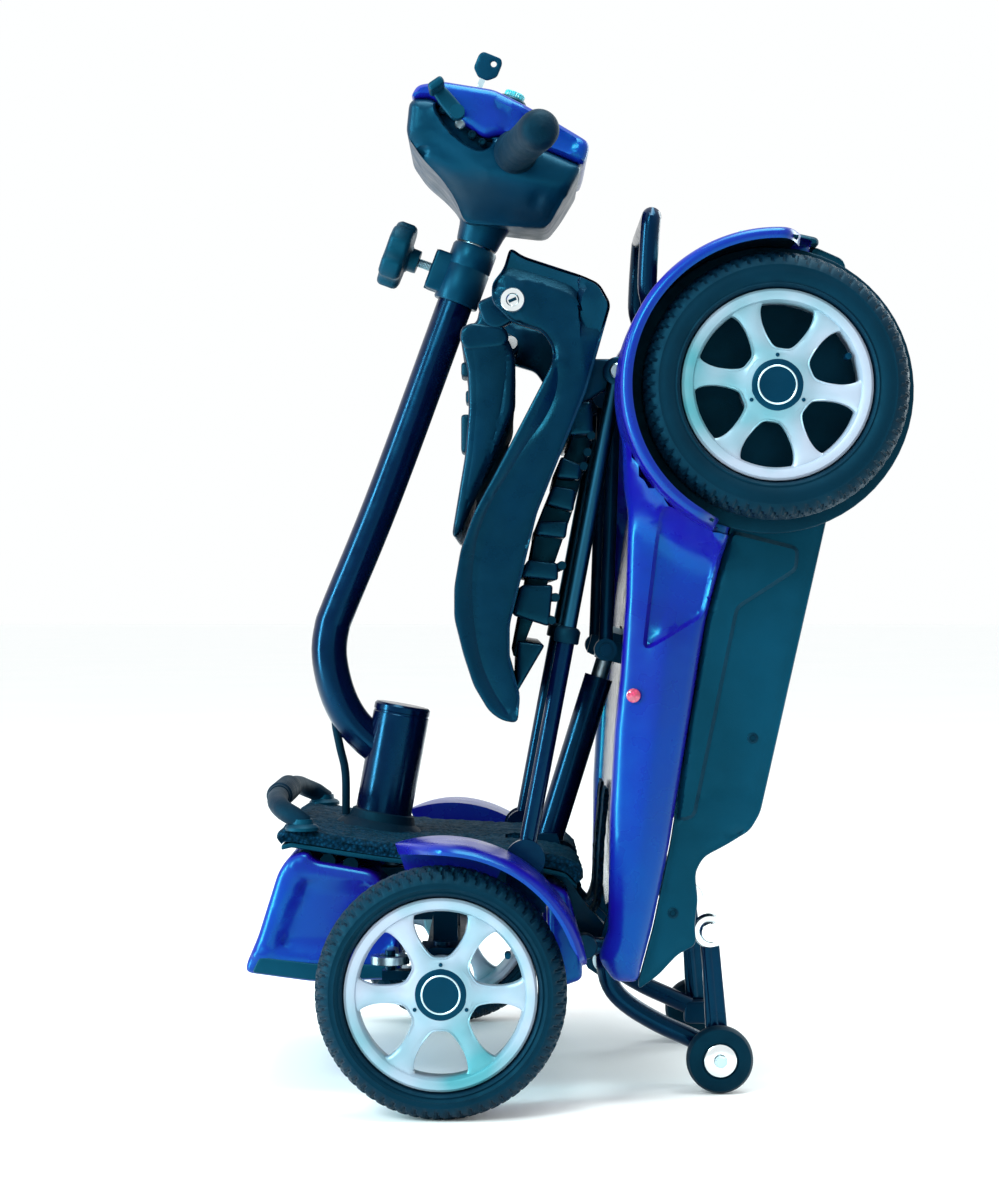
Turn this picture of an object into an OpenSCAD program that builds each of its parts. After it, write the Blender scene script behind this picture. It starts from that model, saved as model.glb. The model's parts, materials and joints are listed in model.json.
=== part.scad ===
// Folding four-wheel mobility scooter, folded and standing upright on its front wheels and trolley wheels.
// X points to the rear of the scooter, Y to the rider's right, Z up. The floor is Z = 0.

/* [Wheels] */
// Outer diameter of a rear tyre
rear_tyre_d = 200; // [190:2:204]
// Width of a rear tyre
rear_tyre_w = 50; // [44:1:52]
// Outer diameter of a front tyre
front_tyre_d = 190; // [180:2:192]
// Width of a front tyre
front_tyre_w = 44; // [38:1:45]
// Outer diameter of a trolley wheel
trolley_d = 53; // [48:1:54]
// Number of spokes in a road wheel
spokes = 6; // [5:1:8]

/* [Chassis] */
// Distance from the middle plane to the middle of a front wheel
front_track_half = 230; // [228:1:236]
// Distance from the middle plane to the middle of a rear wheel
rear_track_half = 235; // [233:1:240]
// Height of the main fold hinge above the floor
hinge_z = 100; // [99:0.5:101]
// Angle of the folded rear body above the floor
body_angle = 74.85; // [74:0.05:76]
// Distance from the fold hinge to the rear axle
axle_u = 466.4; // [462:0.2:470]
// Half width of the foot deck
deck_half = 138; // [130:1:140]

/* [Tiller] */
// Backward lean of the steering axis
steer_lean = 10.25; // [9:0.25:11]
// Outer diameter of the tiller tube
tiller_d = 30; // [28:1:32]
// Diameter of the sliding head post
post_d = 25; // [22:1:25]
// Diameter of a hand grip
grip_d = 32; // [28:1:34]

/* [Seat] */
// Half width of the seat
seat_half = 190; // [180:1:192]
// Half width of the backrest
back_half = 166; // [150:1:166]
// Diameter of a seat leg tube
leg_d = 14; // [12:1:15]

/* [Hidden] */
$fn = 64;
eps = 0.01;
run_gap = 0.05;
hinge_x = 35;
nose_x = -249;
front_wheel = [-94, front_tyre_d / 2];
trolley_at = [124, trolley_d / 2 + 0.5];
trolley_y = 131;
leg_pivot = [-30, 188];
seat_pivot = [42, 569];
back_pivot = [-40, 621];
link_pivot = [241.6, 66];
actuator_foot = [-10, 186];
actuator_eye = [43, 356];
column_foot = [-148, 209];
kingpin_y = 190;
pin_d = 12;
axle_d = 12;
rear_axle_d = 15;
hull_fn = 32;

// ---- frames and small helpers ----
// Puts the middle of the whole object's length at X = 0
module from_middle() {
  translate([-(nose_x + hinge_x + axle_u * cos(body_angle) + rear_tyre_d / 2) / 2, 0, 0])
    children();
}
module slab(y0, y1) {
  translate([0, y1, 0])
    rotate([90, 0, 0])
      linear_extrude(y1 - y0)
        children();
}
module rod_y(x, z, y0, y1, d) {
  translate([x, y0, z])
    rotate([-90, 0, 0])
      cylinder(d = d, h = y1 - y0);
}
module on_rear() {
  translate([hinge_x, 0, hinge_z])
    rotate([0, -body_angle, 0])
      children();
}
module on_steer() {
  translate([column_foot[0], 0, column_foot[1]])
    rotate([0, steer_lean, 0])
      children();
}
module both_sides() {
  children();
  mirror([0, 1, 0]) children();
}
// A round bar between two points of the XZ plane at one y
module bar_xz(a, b, y, d) {
  lean = atan2(b[0] - a[0], b[1] - a[1]);
  translate([a[0], y, a[1]])
    rotate([0, lean, 0])
      cylinder(d = d, h = norm(b - a));
}
// A bent tube drawn as straight runs, with a ball a little wider than the tube at each bend
module bent_bar(points, y, d) {
  for (i = [0 : len(points) - 2])
    bar_xz(points[i], points[i + 1], y, d);
  for (p = points)
    translate([p[0], y, p[1]])
      sphere(d = d + 0.6);
}
function on_arc(c, r, a0, a1, n) =
  [for (i = [0 : n]) let (a = a0 + (a1 - a0) * i / n) [c[0] + r * cos(a), c[1] + r * sin(a)]];
// The stretch of a ring between two angles, as a flat outline
module ring_part(c, r_in, r_out, a0, a1) {
  n = 32;
  polygon(concat(on_arc(c, r_out, a0, a1, n), on_arc(c, r_in, a1, a0, n)));
}

// ---- road wheels ----
module wheel_at(p, y) {
  translate([p[0], y, p[1]])
    rotate([90, 0, 0])
      children();
}
module tyre(d, seat_r, w) {
  r = d / 2;
  shoulder = 7;
  half = w / 2;
  color("#0b3a44")
    rotate_extrude($fn = 128)
      polygon([
        [seat_r, -half + 6], [seat_r + 5, -half + 1], [r - 14, -half], [r - shoulder, -half + 2.5],
        [r - 2, -half + 9], [r, -half + 16], [r, half - 16], [r - 2, half - 9],
        [r - shoulder, half - 2.5], [r - 14, half], [seat_r + 5, half - 1], [seat_r, half - 6]
      ]);
}
// A cast wheel: barrel, hub and spokes, with its outer face towards +Z of its own frame
module rim(r, w, bore, phase) {
  half = w / 2;
  spoke_z = half - 17;
  spoke_t = 12;
  hub_r = 25;
  color("#d3d8e8")
    difference() {
      union() {
        rotate_extrude($fn = 128)
          polygon([
            [r - 13, half - 10], [r - 10, half - 4], [r - 3, half - 3], [r - 0.3, half - 6],
            [r - 0.3, -half + 6], [r - 3, -half + 3], [r - 7, -half + 3], [r - 7, half - 16]
          ]);
        for (i = [0 : spokes - 1])
          rotate([0, 0, i * 360 / spokes + phase])
            translate([0, 0, spoke_z])
              linear_extrude(spoke_t)
                polygon([
                  [16, -10], [30, -8], [r - 30, -7], [r - 18, -9], [r - 8, -15],
                  [r - 8, 15], [r - 18, 9], [r - 30, 7], [30, 8], [16, 10]
                ]);
        translate([0, 0, -half + 2])
          cylinder(r = hub_r, h = w - 9);
      }
      translate([0, 0, -half])
        cylinder(d = bore, h = w + 1);
      translate([0, 0, half - 10])
        cylinder(r = 19.3, h = 10);
      for (i = [0 : 2])
        rotate([0, 0, i * 120 + 90])
          translate([22.2, 0, half - 12])
            cylinder(d = 2.6, h = 10, $fn = 16);
    }
  color("#10606c")
    translate([0, 0, half - 9.9])
      cylinder(r = 19.3, h = 4.4);
}

module front_rim_left() {
  wheel_at(front_wheel, -front_track_half) rim(73, front_tyre_w, axle_d + 2 * run_gap, 0);
}
module front_rim_right() {
  wheel_at(front_wheel, front_track_half)
    mirror([0, 0, 1]) rim(73, front_tyre_w, axle_d + 2 * run_gap, 0);
}
module front_tyre_left() {
  wheel_at(front_wheel, -front_track_half) tyre(front_tyre_d, 73, front_tyre_w);
}
module front_tyre_right() {
  wheel_at(front_wheel, front_track_half) tyre(front_tyre_d, 73, front_tyre_w);
}
module rear_wheel_place(side) {
  on_rear() wheel_at([axle_u, 0], side * rear_track_half) rotate([0, 0, -body_angle]) children();
}
module rear_rim_left() {
  rear_wheel_place(-1) rim(72, rear_tyre_w, rear_axle_d + 2 * run_gap, -8);
}
module rear_rim_right() {
  rear_wheel_place(1) mirror([0, 0, 1]) rim(72, rear_tyre_w, rear_axle_d + 2 * run_gap, -8);
}
module rear_tyre_left() {
  rear_wheel_place(-1) tyre(rear_tyre_d, 72, rear_tyre_w);
}
module rear_tyre_right() {
  rear_wheel_place(1) tyre(rear_tyre_d, 72, rear_tyre_w);
}

// ---- front chassis ----
rail_y = 58;
rail_w = 20;
module front_rail(side) {
  y = side * rail_y;
  color("#123c48")
    difference() {
      slab(y - rail_w / 2, y + rail_w / 2)
        polygon([
          [-225, 141], [-225, 172], [-8, 172], [8, 160], [22, 140], [48, 112], [52, 98], [46, 86],
          [34, 82], [22, 90], [2, 128], [-10, 141]
        ]);
      rod_y(hinge_x, hinge_z, y - rail_w, y + rail_w, pin_d);
    }
}
module front_rails() {
  front_rail(-1);
  front_rail(1);
}
tray_edge = 141;
bracket_in = tray_edge - 2;
module front_cross_tubes() {
  inner = rail_y - rail_w / 2;
  outer = rail_y + rail_w / 2;
  foot_x = actuator_foot[0];
  foot_z = actuator_foot[1];
  color("#123c48") {
    rod_y(-212, 157, -inner, inner, 24);
    rod_y(-30, 157, -inner, inner, 24);
    both_sides() {
      rod_y(-30, 157, outer, bracket_in, 24);
      rod_y(-157, 156, 19.5, inner, 18);
      slab(14, 19)
        polygon([[-42, 150], [-20, 148], [foot_x + 12, foot_z - 4], [foot_x + 8, foot_z + 9],
                 [foot_x - 8, foot_z + 9], [-42, 166]]);
    }
    rod_y(foot_x, foot_z, -16, 16, 8);
  }
}
module front_axle_beam() {
  wx = front_wheel[0];
  wz = front_wheel[1];
  color("#123c48") {
    difference() {
      union() {
        translate([wx - 15, -170, wz - 15]) cube([30, 340, 30]);
        for (side = [-1, 1]) {
          translate([wx - 10, side * rail_y - 8, wz + 14]) cube([20, 16, 32]);
          for (z = [wz + 23.5, wz - 29.5])
            translate([wx - 16, side * 182 - 22, z]) cube([32, 44, 6]);
          translate([wx - 15, side * 165 - 5, wz - 29]) cube([30, 10, 58]);
        }
      }
      for (side = [-1, 1])
        translate([wx, side * kingpin_y, wz - 35]) cylinder(d = pin_d, h = 70);
    }
    for (side = [-1, 1])
      translate([wx, side * kingpin_y, wz - 33]) cylinder(d = pin_d, h = 66);
  }
}
module head_tube() {
  color("#123c48")
    on_steer()
      difference() {
        translate([0, 0, -68]) cylinder(d = 42, h = 50);
        translate([0, 0, -69]) cylinder(d = 22 + 2 * run_gap, h = 52);
        translate([0, 0, -58]) cylinder(d = 34, h = 30);
      }
}
module hinge_pin() {
  color("#9aa8b4") {
    rod_y(hinge_x, hinge_z, -93, 93, pin_d);
    for (side = [-1, 1])
      rod_y(hinge_x, hinge_z, side * 90 - 3, side * 90 + 3, 20);
  }
}
module leg_pivot_brackets() {
  x = leg_pivot[0];
  z = leg_pivot[1];
  color("#0f3f4a")
    both_sides() {
      slab(bracket_in, tray_edge + 1.5)
        polygon(concat([[-46, 144], [-14, 144]], on_arc(leg_pivot, 14, 0, 180, 12)));
      rod_y(x, z, tray_edge, 163, 16);
      rod_y(x, z, 158.5, 164, 31);
    }
}
tray_top = [
  [-222, 197], [-214, 199], [-170, 192], [-135, 187], [-100, 184], [-60, 182], [-20, 180], [2, 175],
  [11, 166]
];
module deck_outline(lift, thick) {
  up = [for (p = tray_top) p + [0, lift + thick]];
  down = [for (i = [len(tray_top) - 1 : -1 : 0]) tray_top[i] + [0, lift]];
  polygon(concat(up, down));
}
module shaft_hole(d) {
  on_steer() translate([0, 0, -60]) cylinder(d = d, h = 90);
}
module actuator_slot() {
  translate([-45, -22, 150]) cube([80, 44, 60]);
}
module deck_tray() {
  color("#0b3a44")
    difference() {
      slab(-deck_half, deck_half) deck_outline(-4, 4);
      shaft_hole(46);
      actuator_slot();
    }
}
module deck_mat() {
  color("#07323a")
    difference() {
      slab(-deck_half, deck_half) deck_outline(eps, 11);
      shaft_hole(52);
      actuator_slot();
    }
}
nose = [
  [nose_x, 97], [nose_x, 104], [-240, 125], [-224, 176], [-216, 188], [-202, 192], [-196, 184],
  [-150, 176], [-128, 150], [-128, 92], [-197, 90]
];
module front_shroud() {
  color("#1c3fc4")
    difference() {
      slab(-150, 150) polygon(nose);
      slab(-146, 146)
        polygon([[-242, 101], [-233, 125], [-217, 174], [-205, 186], [-198, 178], [-120, 170],
                 [-120, 88], [-197, 96]]);
      translate([-232, -90, 136]) cube([120, 180, 60]);
      translate([rod_at[0] - 9, -160, rod_at[1] - 8]) cube([20, 320, 16]);
      slab(-deck_half - 1, deck_half + 1) translate([-260, 184]) square([56.5, 30]);
    }
}
module deck_tail_cover() {
  color("#1c3fc4")
    difference() {
      slab(-150, 150)
        polygon([[-12, 168], [4, 160], [15, 120], [15, 92], [-8, 84], [-12, 96]]);
      slab(-146, 146)
        polygon([[-13, 160], [-1, 158], [11, 119], [11, 95], [-13, 95]]);
      translate([-30, -72, 80]) cube([60, 144, 100]);
      translate([stand_root[0] - 10, -113, stand_root[1] - 10]) cube([20, 226, 20]);
    }
}
module front_fender(side) {
  y_in = 165;
  y_out = 252;
  color("#2a1fd0") {
    if (side < 0)
      slab(-y_out, -y_in) ring_part(front_wheel, 107, 112.5, 7, 109);
    else
      slab(y_in, y_out) ring_part(front_wheel, 107, 112.5, 7, 109);
    slab(side < 0 ? -y_in - 3 : y_in, side < 0 ? -y_in : y_in + 3)
      ring_part(front_wheel, 84, 108, 62, 109);
    translate([-118, side < 0 ? -y_in - 1 : 120, 169]) cube([46, y_in - 119, 8]);
  }
}
module front_fender_left() {
  front_fender(-1);
}
module front_fender_right() {
  front_fender(1);
}
// A round bar between any two points
module bar_3d(a, b, d) {
  run = b - a;
  translate(a)
    rotate([0, acos(run[2] / norm(run)), atan2(run[1], run[0])])
      cylinder(d = d, h = norm(run));
}
handle_path = [[-206, 132, 212], [-220, 126, 222], [-229, 96, 228], [-231, 48, 229]];
module front_lift_handle() {
  color("#176070") {
    both_sides() {
      for (i = [0 : len(handle_path) - 2])
        bar_3d(handle_path[i], handle_path[i + 1], 16);
      for (i = [1 : len(handle_path) - 1])
        translate(handle_path[i]) sphere(d = 16.6);
    }
    rod_y(-231, 229, -48, 48, 16);
    for (y = [-40 : 10 : 40])
      rod_y(-231, 229, y - 3, y + 3, 22);
  }
}
stand_path = [[35, 112], [37, 88], [50, 68], [84, 48], [116, 33]];
// Where the stand is fixed to the rail, clear of the rear body's hinge ears over the whole fold
stand_root = [18, 113];
module trolley_stand(side) {
  y = side * 103;
  x = trolley_at[0];
  z = trolley_at[1];
  color("#123c48") {
    bent_bar(stand_path, y, 16);
    bar_xz(stand_root, stand_path[0], y, 15);
    rod_y(stand_root[0], stand_root[1], side > 0 ? 68 : -103, side > 0 ? 103 : -68, 14);
    translate([x - 12, y - 8, z - 9]) cube([24, 16, 20]);
    rod_y(x, z, side > 0 ? 103 : -145, side > 0 ? 145 : -103, 10);
  }
}
module trolley_stand_left() {
  trolley_stand(-1);
}
module trolley_stand_right() {
  trolley_stand(1);
}
latch_at = [117, 127];
module stand_latch_arms() {
  both_sides() {
    color("#123c48")
      difference() {
        union() {
          bar_xz(trolley_at, latch_at, 116, 8);
          slab(112, 120)
            polygon([[trolley_at[0] - 8, trolley_at[1]], [trolley_at[0] + 8, trolley_at[1]],
                     [latch_at[0] + 8, latch_at[1]], [latch_at[0] - 8, latch_at[1]]]);
          rod_y(trolley_at[0], trolley_at[1], 112, 120, 22);
        }
        rod_y(trolley_at[0], trolley_at[1], 100, 125, 10 + 2 * run_gap);
      }
    color("#d8e2ea") {
      rod_y(latch_at[0], latch_at[1], 112, 126, 27);
      rod_y(latch_at[0], latch_at[1], 125, 133, 15);
    }
  }
}
module trolley_wheel(side) {
  color("#0b3a44")
    translate([trolley_at[0], side * trolley_y, trolley_at[1]])
      rotate([90, 0, 0])
        rotate_extrude($fn = 96)
          polygon([[5 + run_gap, -9], [22, -9], [trolley_d / 2, -6], [trolley_d / 2, 6], [22, 9], [5 + run_gap, 9]]);
}
module trolley_wheel_left() {
  trolley_wheel(-1);
}
module trolley_wheel_right() {
  trolley_wheel(1);
}

// ---- steering ----
column_d = 47;
column_h = 95;
module steering_column() {
  color("#0f4450")
    on_steer()
      difference() {
        translate([0, 0, -9]) cylinder(d = column_d, h = column_h + 9);
        translate([0, 0, -10]) cylinder(d = 22, h = 79);
      }
}
pitman = 28;
module steering_shaft() {
  color("#9aa8b4")
    on_steer() {
      translate([0, 0, -80]) cylinder(d = 22, h = 148);
      difference() {
        translate([-pitman - 8, -9, -80]) cube([pitman + 8, 18, 8]);
        translate([-pitman, 0, -82]) cylinder(d = 6, h = 12);
      }
    }
}
tiller_path = [
  [-140, 262], [-160, 276], [-180, 300], [-190, 325], [-193, 352], [-184, 386], [-145, 482]
];
tiller_top = [-82.5, 652];
module tiller_tube() {
  upper = tiller_path[6];
  lean = atan2(tiller_top[0] - upper[0], tiller_top[1] - upper[1]);
  color("#0f4450") {
    difference() {
      bent_bar(tiller_path, 0, tiller_d);
      on_steer() cylinder(d = column_d, h = column_h);
    }
    difference() {
      translate([upper[0], 0, upper[1]])
        rotate([0, lean, 0])
          cylinder(d = tiller_d, h = norm(tiller_top - upper));
      translate([upper[0], 0, upper[1]])
        rotate([0, lean, 0])
          translate([0, 0, 40])
            cylinder(d = post_d + 2 * run_gap, h = 200);
    }
  }
}
// The cable from the tiller tube down into the deck
cable_d = 7;
cable_path = [[-186, 303], [-188, 288], [-183, 266], [-179, 245], [-179, 210]];
module tiller_cable() {
  color("#0b3a44") bent_bar(cable_path, 0, cable_d);
}
module on_tiller() {
  upper = tiller_path[6];
  translate([tiller_top[0], 0, tiller_top[1]])
    rotate([0, atan2(tiller_top[0] - upper[0], tiller_top[1] - upper[1]), 0])
      children();
}
module clamp_collar() {
  color("#0f4450")
    on_tiller()
      difference() {
        union() {
          translate([0, 0, -14]) cylinder(d = 38, h = 50.5);
          translate([-30, -11, -10]) cube([30, 22, 34]);
        }
        translate([0, 0, -15]) cylinder(d = tiller_d, h = 15);
        translate([0, 0, -eps]) cylinder(d = post_d + 2 * run_gap, h = 50);
        translate([-40, 0, 8]) rotate([0, 90, 0]) cylinder(d = 8 + 2 * run_gap, h = 40);
      }
}
module clamp_knob() {
  color("#0b3a44")
    on_tiller()
      translate([0, 0, 8])
        rotate([0, -90, 0]) {
          translate([0, 0, 13.5]) cylinder(d = 8, h = 30);
          translate([0, 0, 41]) cylinder(d = 20, h = 9);
          translate([0, 0, 49])
            linear_extrude(22)
              union() {
                circle(r = 20);
                for (i = [0 : 4])
                  rotate([0, 0, i * 72]) translate([19, 0]) circle(r = 9.5);
              }
        }
}
module head_post() {
  color("#9aa8b4")
    on_tiller() translate([0, 0, -110]) cylinder(d = post_d, h = 165);
}
rod_at = [-134, 114];
module tie_rod() {
  color("#9aa8b4")
    difference() {
      union() {
        rod_y(rod_at[0], rod_at[1], -176, 176, 10);
        for (side = [-1, 1])
          translate([rod_at[0], side * kingpin_y, rod_at[1] - 3]) cylinder(d = 30, h = 6);
        translate([-206, -14, rod_at[1] - 3]) cube([72, 28, 6]);
      }
      for (side = [-1, 1])
        translate([rod_at[0], side * kingpin_y, rod_at[1] - 10]) cylinder(d = 17, h = 20);
      translate([-200, -5, rod_at[1] - 10]) cube([20, 10, 20]);
    }
}
module knuckle(side) {
  wx = front_wheel[0];
  wz = front_wheel[1];
  color("#123c48") {
    difference() {
      union() {
        translate([wx, side * kingpin_y, wz - 23]) cylinder(d = 26, h = 46);
        translate([wx - 46, side * kingpin_y - 7, wz + 4]) cube([40, 14, 7]);
      }
      translate([wx, side * kingpin_y, wz - 30]) cylinder(d = pin_d + 2 * run_gap, h = 60);
    }
    rod_y(wx, wz, side > 0 ? kingpin_y + 8 : -front_track_half - 8.5,
          side > 0 ? front_track_half + 8.5 : -kingpin_y - 8, axle_d);
    translate([rod_at[0], side * kingpin_y, wz + 10]) cylinder(d = 8, h = 16);
  }
}
module knuckle_left() {
  knuckle(-1);
}
module knuckle_right() {
  knuckle(1);
}

// ---- control head ----
head_half = 84;
head_low = [
  [-123, 797], [-126, 768], [-112, 748], [-97, 734], [-86, 720], [-79, 703], [-79, 691], [-51, 682],
  [-40, 693], [-26, 698], [-10, 697], [8, 725], [18, 742], [-15, 756], [-48, 767], [-63, 764],
  [-86, 780], [-104, 797]
];
head_up = [
  [-123, 798], [-117, 809], [-97, 812], [-54, 805], [-30, 793], [-1, 777], [22, 763], [23, 756],
  [18.3, 742.8], [-15, 757], [-48, 768], [-63, 765], [-86, 781], [-104, 798]
];
module head_lower_shell() {
  color("#0f4450")
    difference() {
      union() {
        slab(-head_half, head_half)
          polygon([for (i = [0 : len(head_low) - 1]) if (i < 4 || i > 9) head_low[i]]);
        slab(-30, 30) polygon(head_low);
      }
      on_tiller() translate([0, 0, -10]) cylinder(d = post_d, h = 65.5);
      rod_y(lever_at[0], lever_at[1], -90, 90, 6 + 2 * run_gap);
    }
}
module head_upper_shell() {
  color("#1e7fc8")
    difference() {
      slab(-head_half + 4, head_half - 4) polygon(head_up);
      rod_y(lever_at[0], lever_at[1], -90, 90, 6 + 2 * run_gap);
    }
}
grip_root = [-38, 84, 752];
grip_tip = [-18, 215, 749];
module hand_grips() {
  run = grip_tip - grip_root;
  color("#0b3a44")
    both_sides()
      translate(grip_root)
        rotate([0, acos(run[2] / norm(run)), atan2(run[1], run[0])]) {
          cylinder(d = grip_d + 4, h = 10);
          cylinder(d = grip_d, h = norm(run) - 10);
          translate([0, 0, norm(run) - 14]) scale([1, 1, 0.9]) sphere(d = grip_d);
        }
}
lever_at = [-84, 783];
module throttle_lever() {
  color("#0f4450") {
    rod_y(lever_at[0], lever_at[1], -94, 94, 6);
    both_sides() {
      rod_y(lever_at[0], lever_at[1], 85, 97, 12);
      slab(86, 94)
        polygon([lever_at + [-3, -5], lever_at + [3, 5], lever_at + [-12, 20], lever_at + [-20, 16]]);
      slab(86, 116)
        polygon([lever_at + [-20, 12], lever_at + [-10, 20], lever_at + [-14, 26], lever_at + [-24, 18]]);
    }
  }
}
head_tilt = 22;
module on_panel(x, z, y) {
  translate([x, y, z]) rotate([0, head_tilt, 0]) children();
}
module ignition_key() {
  color("#0f4450")
    on_panel(-72, 808.5, 0) {
      cylinder(d = 5, h = 24);
      translate([0, 0, 20])
        rotate([90, 0, 0])
          translate([0, 0, -1.5])
            linear_extrude(3)
              difference() {
                polygon([[-4, 0], [4, 0], [11, 6], [11, 20], [8, 23], [-8, 23], [-11, 20], [-11, 6]]);
                translate([4, 15]) circle(d = 5, $fn = 24);
              }
    }
}
module speed_dial() {
  color("#10606c")
    on_panel(-41, 799.9, -30) {
      cylinder(d = 24, h = 7);
      translate([0, 0, 6.5]) cylinder(d = 17, h = 6);
    }
}

// ---- rear chassis ----
rear_rail_y = 78;
axle_tube_d = 56;
// The actuator's pin in the rear body's own frame
actuator_pin = [
  (actuator_eye[0] - hinge_x) * cos(body_angle) + (actuator_eye[1] - hinge_z) * sin(body_angle),
  (actuator_eye[1] - hinge_z) * cos(body_angle) - (actuator_eye[0] - hinge_x) * sin(body_angle)
];
module rear_rails() {
  color("#123c48")
    on_rear() {
      for (side = [-1, 1])
        difference() {
          slab(side * rear_rail_y - 7, side * rear_rail_y + 7)
            polygon([[0, -13], [60, -16], [452, -16], [452, 6], [60, 6], [0, 8], [-8, 6], [-12, 0], [-8, -10]]);
          rod_y(0, 0, side * rear_rail_y - 10, side * rear_rail_y + 10, pin_d + 2 * run_gap);
          rod_y(axle_u, 0, side * rear_rail_y - 10, side * rear_rail_y + 10, axle_tube_d);
        }
      for (u = [160, actuator_pin[0], 330])
        rod_y(u, -5, -72, 72, 20);
      both_sides() {
        rod_y(link_pivot[0], link_pivot[1], 88, 124, 10);
        translate([link_pivot[0] - 8, 88, -12]) cube([16, 6, 84]);
        translate([link_pivot[0] - 8, 84, -12]) cube([16, 5, 12]);
      }
      for (side = [-1, 1])
        translate([actuator_pin[0] - 7, side * 14 - 2.5, 4]) cube([14, 5, actuator_pin[1] + 2]);
      rod_y(actuator_pin[0], actuator_pin[1], -13, 13, 8);
      translate([actuator_pin[0] - 12, -18, 4]) cube([24, 36, 8]);
      translate([actuator_pin[0] - 7, -5, -12]) cube([14, 10, 20]);
    }
}
cover_top = [
  [-2, -4], [11, 12], [33, 10], [124, 33], [186, 46], [224, 52], [286, 64], [348, 79], [368, 88]
];
cover_bottom = [[584, -2], [355, 2], [282, 1], [206, -7], [111, -17], [46, -21], [2, -21]];
fender_r = 118;
// The covers' inner edge stays outside the seat legs and their pivot pins
cover_in = 160;
wheel_c = [axle_u, 0];
module cover_outline() {
  polygon(concat(cover_top, on_arc(wheel_c, fender_r, 124, 5, 24), cover_bottom));
}
centre_top = [
  [33, 4], [124, 27], [186, 40], [224, 46], [286, 58], [348, 66], [470, 72], [566, 70], [578, 56]
];
module rear_top_panel() {
  low = [for (i = [len(centre_top) - 1 : -1 : 0]) centre_top[i] - [0, 4]];
  color("#0b2c36")
    on_rear()
      difference() {
        slab(-148, 148) polygon(concat(centre_top, low));
        for (side = [-1, 1])
          {
            translate([link_pivot[0] - 12, side * 91 - 6, 0]) cube([24, 12, 100]);
            translate([30, side * rear_rail_y - 8, -10]) cube([34, 16, 30]);
            translate([62, side * 122.5 - 13.5, -10]) cube([46, 27, 60]);
          }
        translate([actuator_pin[0] - 14, -20, 0]) cube([28, 40, 100]);
      }
}
module rear_cover(side) {
  y0 = side > 0 ? 196 : -200;
  color("#2418c8")
    on_rear() {
      difference() {
        slab(y0, y0 + 4) cover_outline();
        rod_y(axle_u, 0, -210, 210, rear_axle_d + 3);
      }
      slab(side > 0 ? cover_in : -200, side > 0 ? 200 : -cover_in)
        difference() {
          cover_outline();
          translate([0.8, -4]) cover_outline();
          translate([400, -40]) square([220, 42]);
        }
      slab(side > 0 ? 199 : -262, side > 0 ? 262 : -199)
        ring_part(wheel_c, fender_r - 7, fender_r, 5, 172);
      slab(side > 0 ? cover_in : -cover_in - 4, side > 0 ? cover_in + 4 : -cover_in)
        intersection() {
          cover_outline();
          translate([300, 62]) square([300, 80]);
        }
    }
}
module rear_cover_left() {
  rear_cover(-1);
}
module rear_cover_right() {
  rear_cover(1);
}
case_low = [
  [2, -22], [-4, -24], [11, -36], [30, -46], [41, -58], [55, -53], [75, -50], [90, -44], [97, -43],
  [108, -46], [122, -61], [137, -75], [152, -79], [268, -74], [389, -69], [550, -58], [563, -38],
  [580, -30], [584, -4]
];
case_high = [[355, 1], [282, 0], [206, -8], [111, -18], [46, -22]];
module case_side(side) {
  y0 = side > 0 ? 180 : -186;
  color("#0f5060")
    on_rear()
      difference() {
        union() {
          slab(y0, y0 + 6) polygon(concat(case_low, case_high));
          slab(side > 0 ? 184 : -190, side > 0 ? 190 : -184)
            polygon([[355, 1], [356, -53], [340, -56], [300, -20], [136, -30], [130, -19], [206, -8], [282, 0]]);
        }
        rod_y(axle_u, 0, -200, 200, 30);
      }
}
module case_side_left() {
  case_side(-1);
}
module case_side_right() {
  case_side(1);
}
module underbody_tray() {
  color("#0f5060")
    on_rear() {
      slab(-180, 180)
        polygon([
          [131, -69], [137, -75], [152, -79], [268, -74], [389, -69], [550, -58], [563, -38], [580, -30],
          [584, -6], [576, 0], [575, 40], [571, 40], [572, -2], [578, -9], [576, -28], [560, -34], [547, -54], [389, -65],
          [268, -70], [152, -75], [139, -71], [134, -66]
        ]);
      for (p = [[306, -76], [211, -80]])
        translate([p[0], -92, p[1]]) scale([1, 1, 0.55]) sphere(d = 26);
    }
}
module rear_transaxle() {
  color("#8c98a4")
    on_rear() {
      rod_y(axle_u, 0, -150, 150, axle_tube_d);
      rod_y(axle_u, 0, -rear_track_half - 12, rear_track_half + 12, rear_axle_d);
      translate([axle_u - 78, -70, -40]) cube([80, 60, 60]);
      translate([axle_u - 80, -40, -8]) rotate([-90, 0, 0]) cylinder(d = 62, h = 100);
    }
}
module battery_pack() {
  color("#222a33") on_rear() translate([170, -64, -66]) cube([180, 128, 44]);
}
loop_y = 80;
module rear_carry_loop() {
  color("#0f4450")
    on_rear() {
      for (side = [-1, 1]) {
        bent_bar([[520, 74], [520, 100], [548, 112], [590, 120]], side * loop_y, 16);
        bar_xz([492, 100], [520, 92], side * loop_y, 10);
      }
      rod_y(590, 120, -loop_y, loop_y, 16);
    }
}

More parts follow.
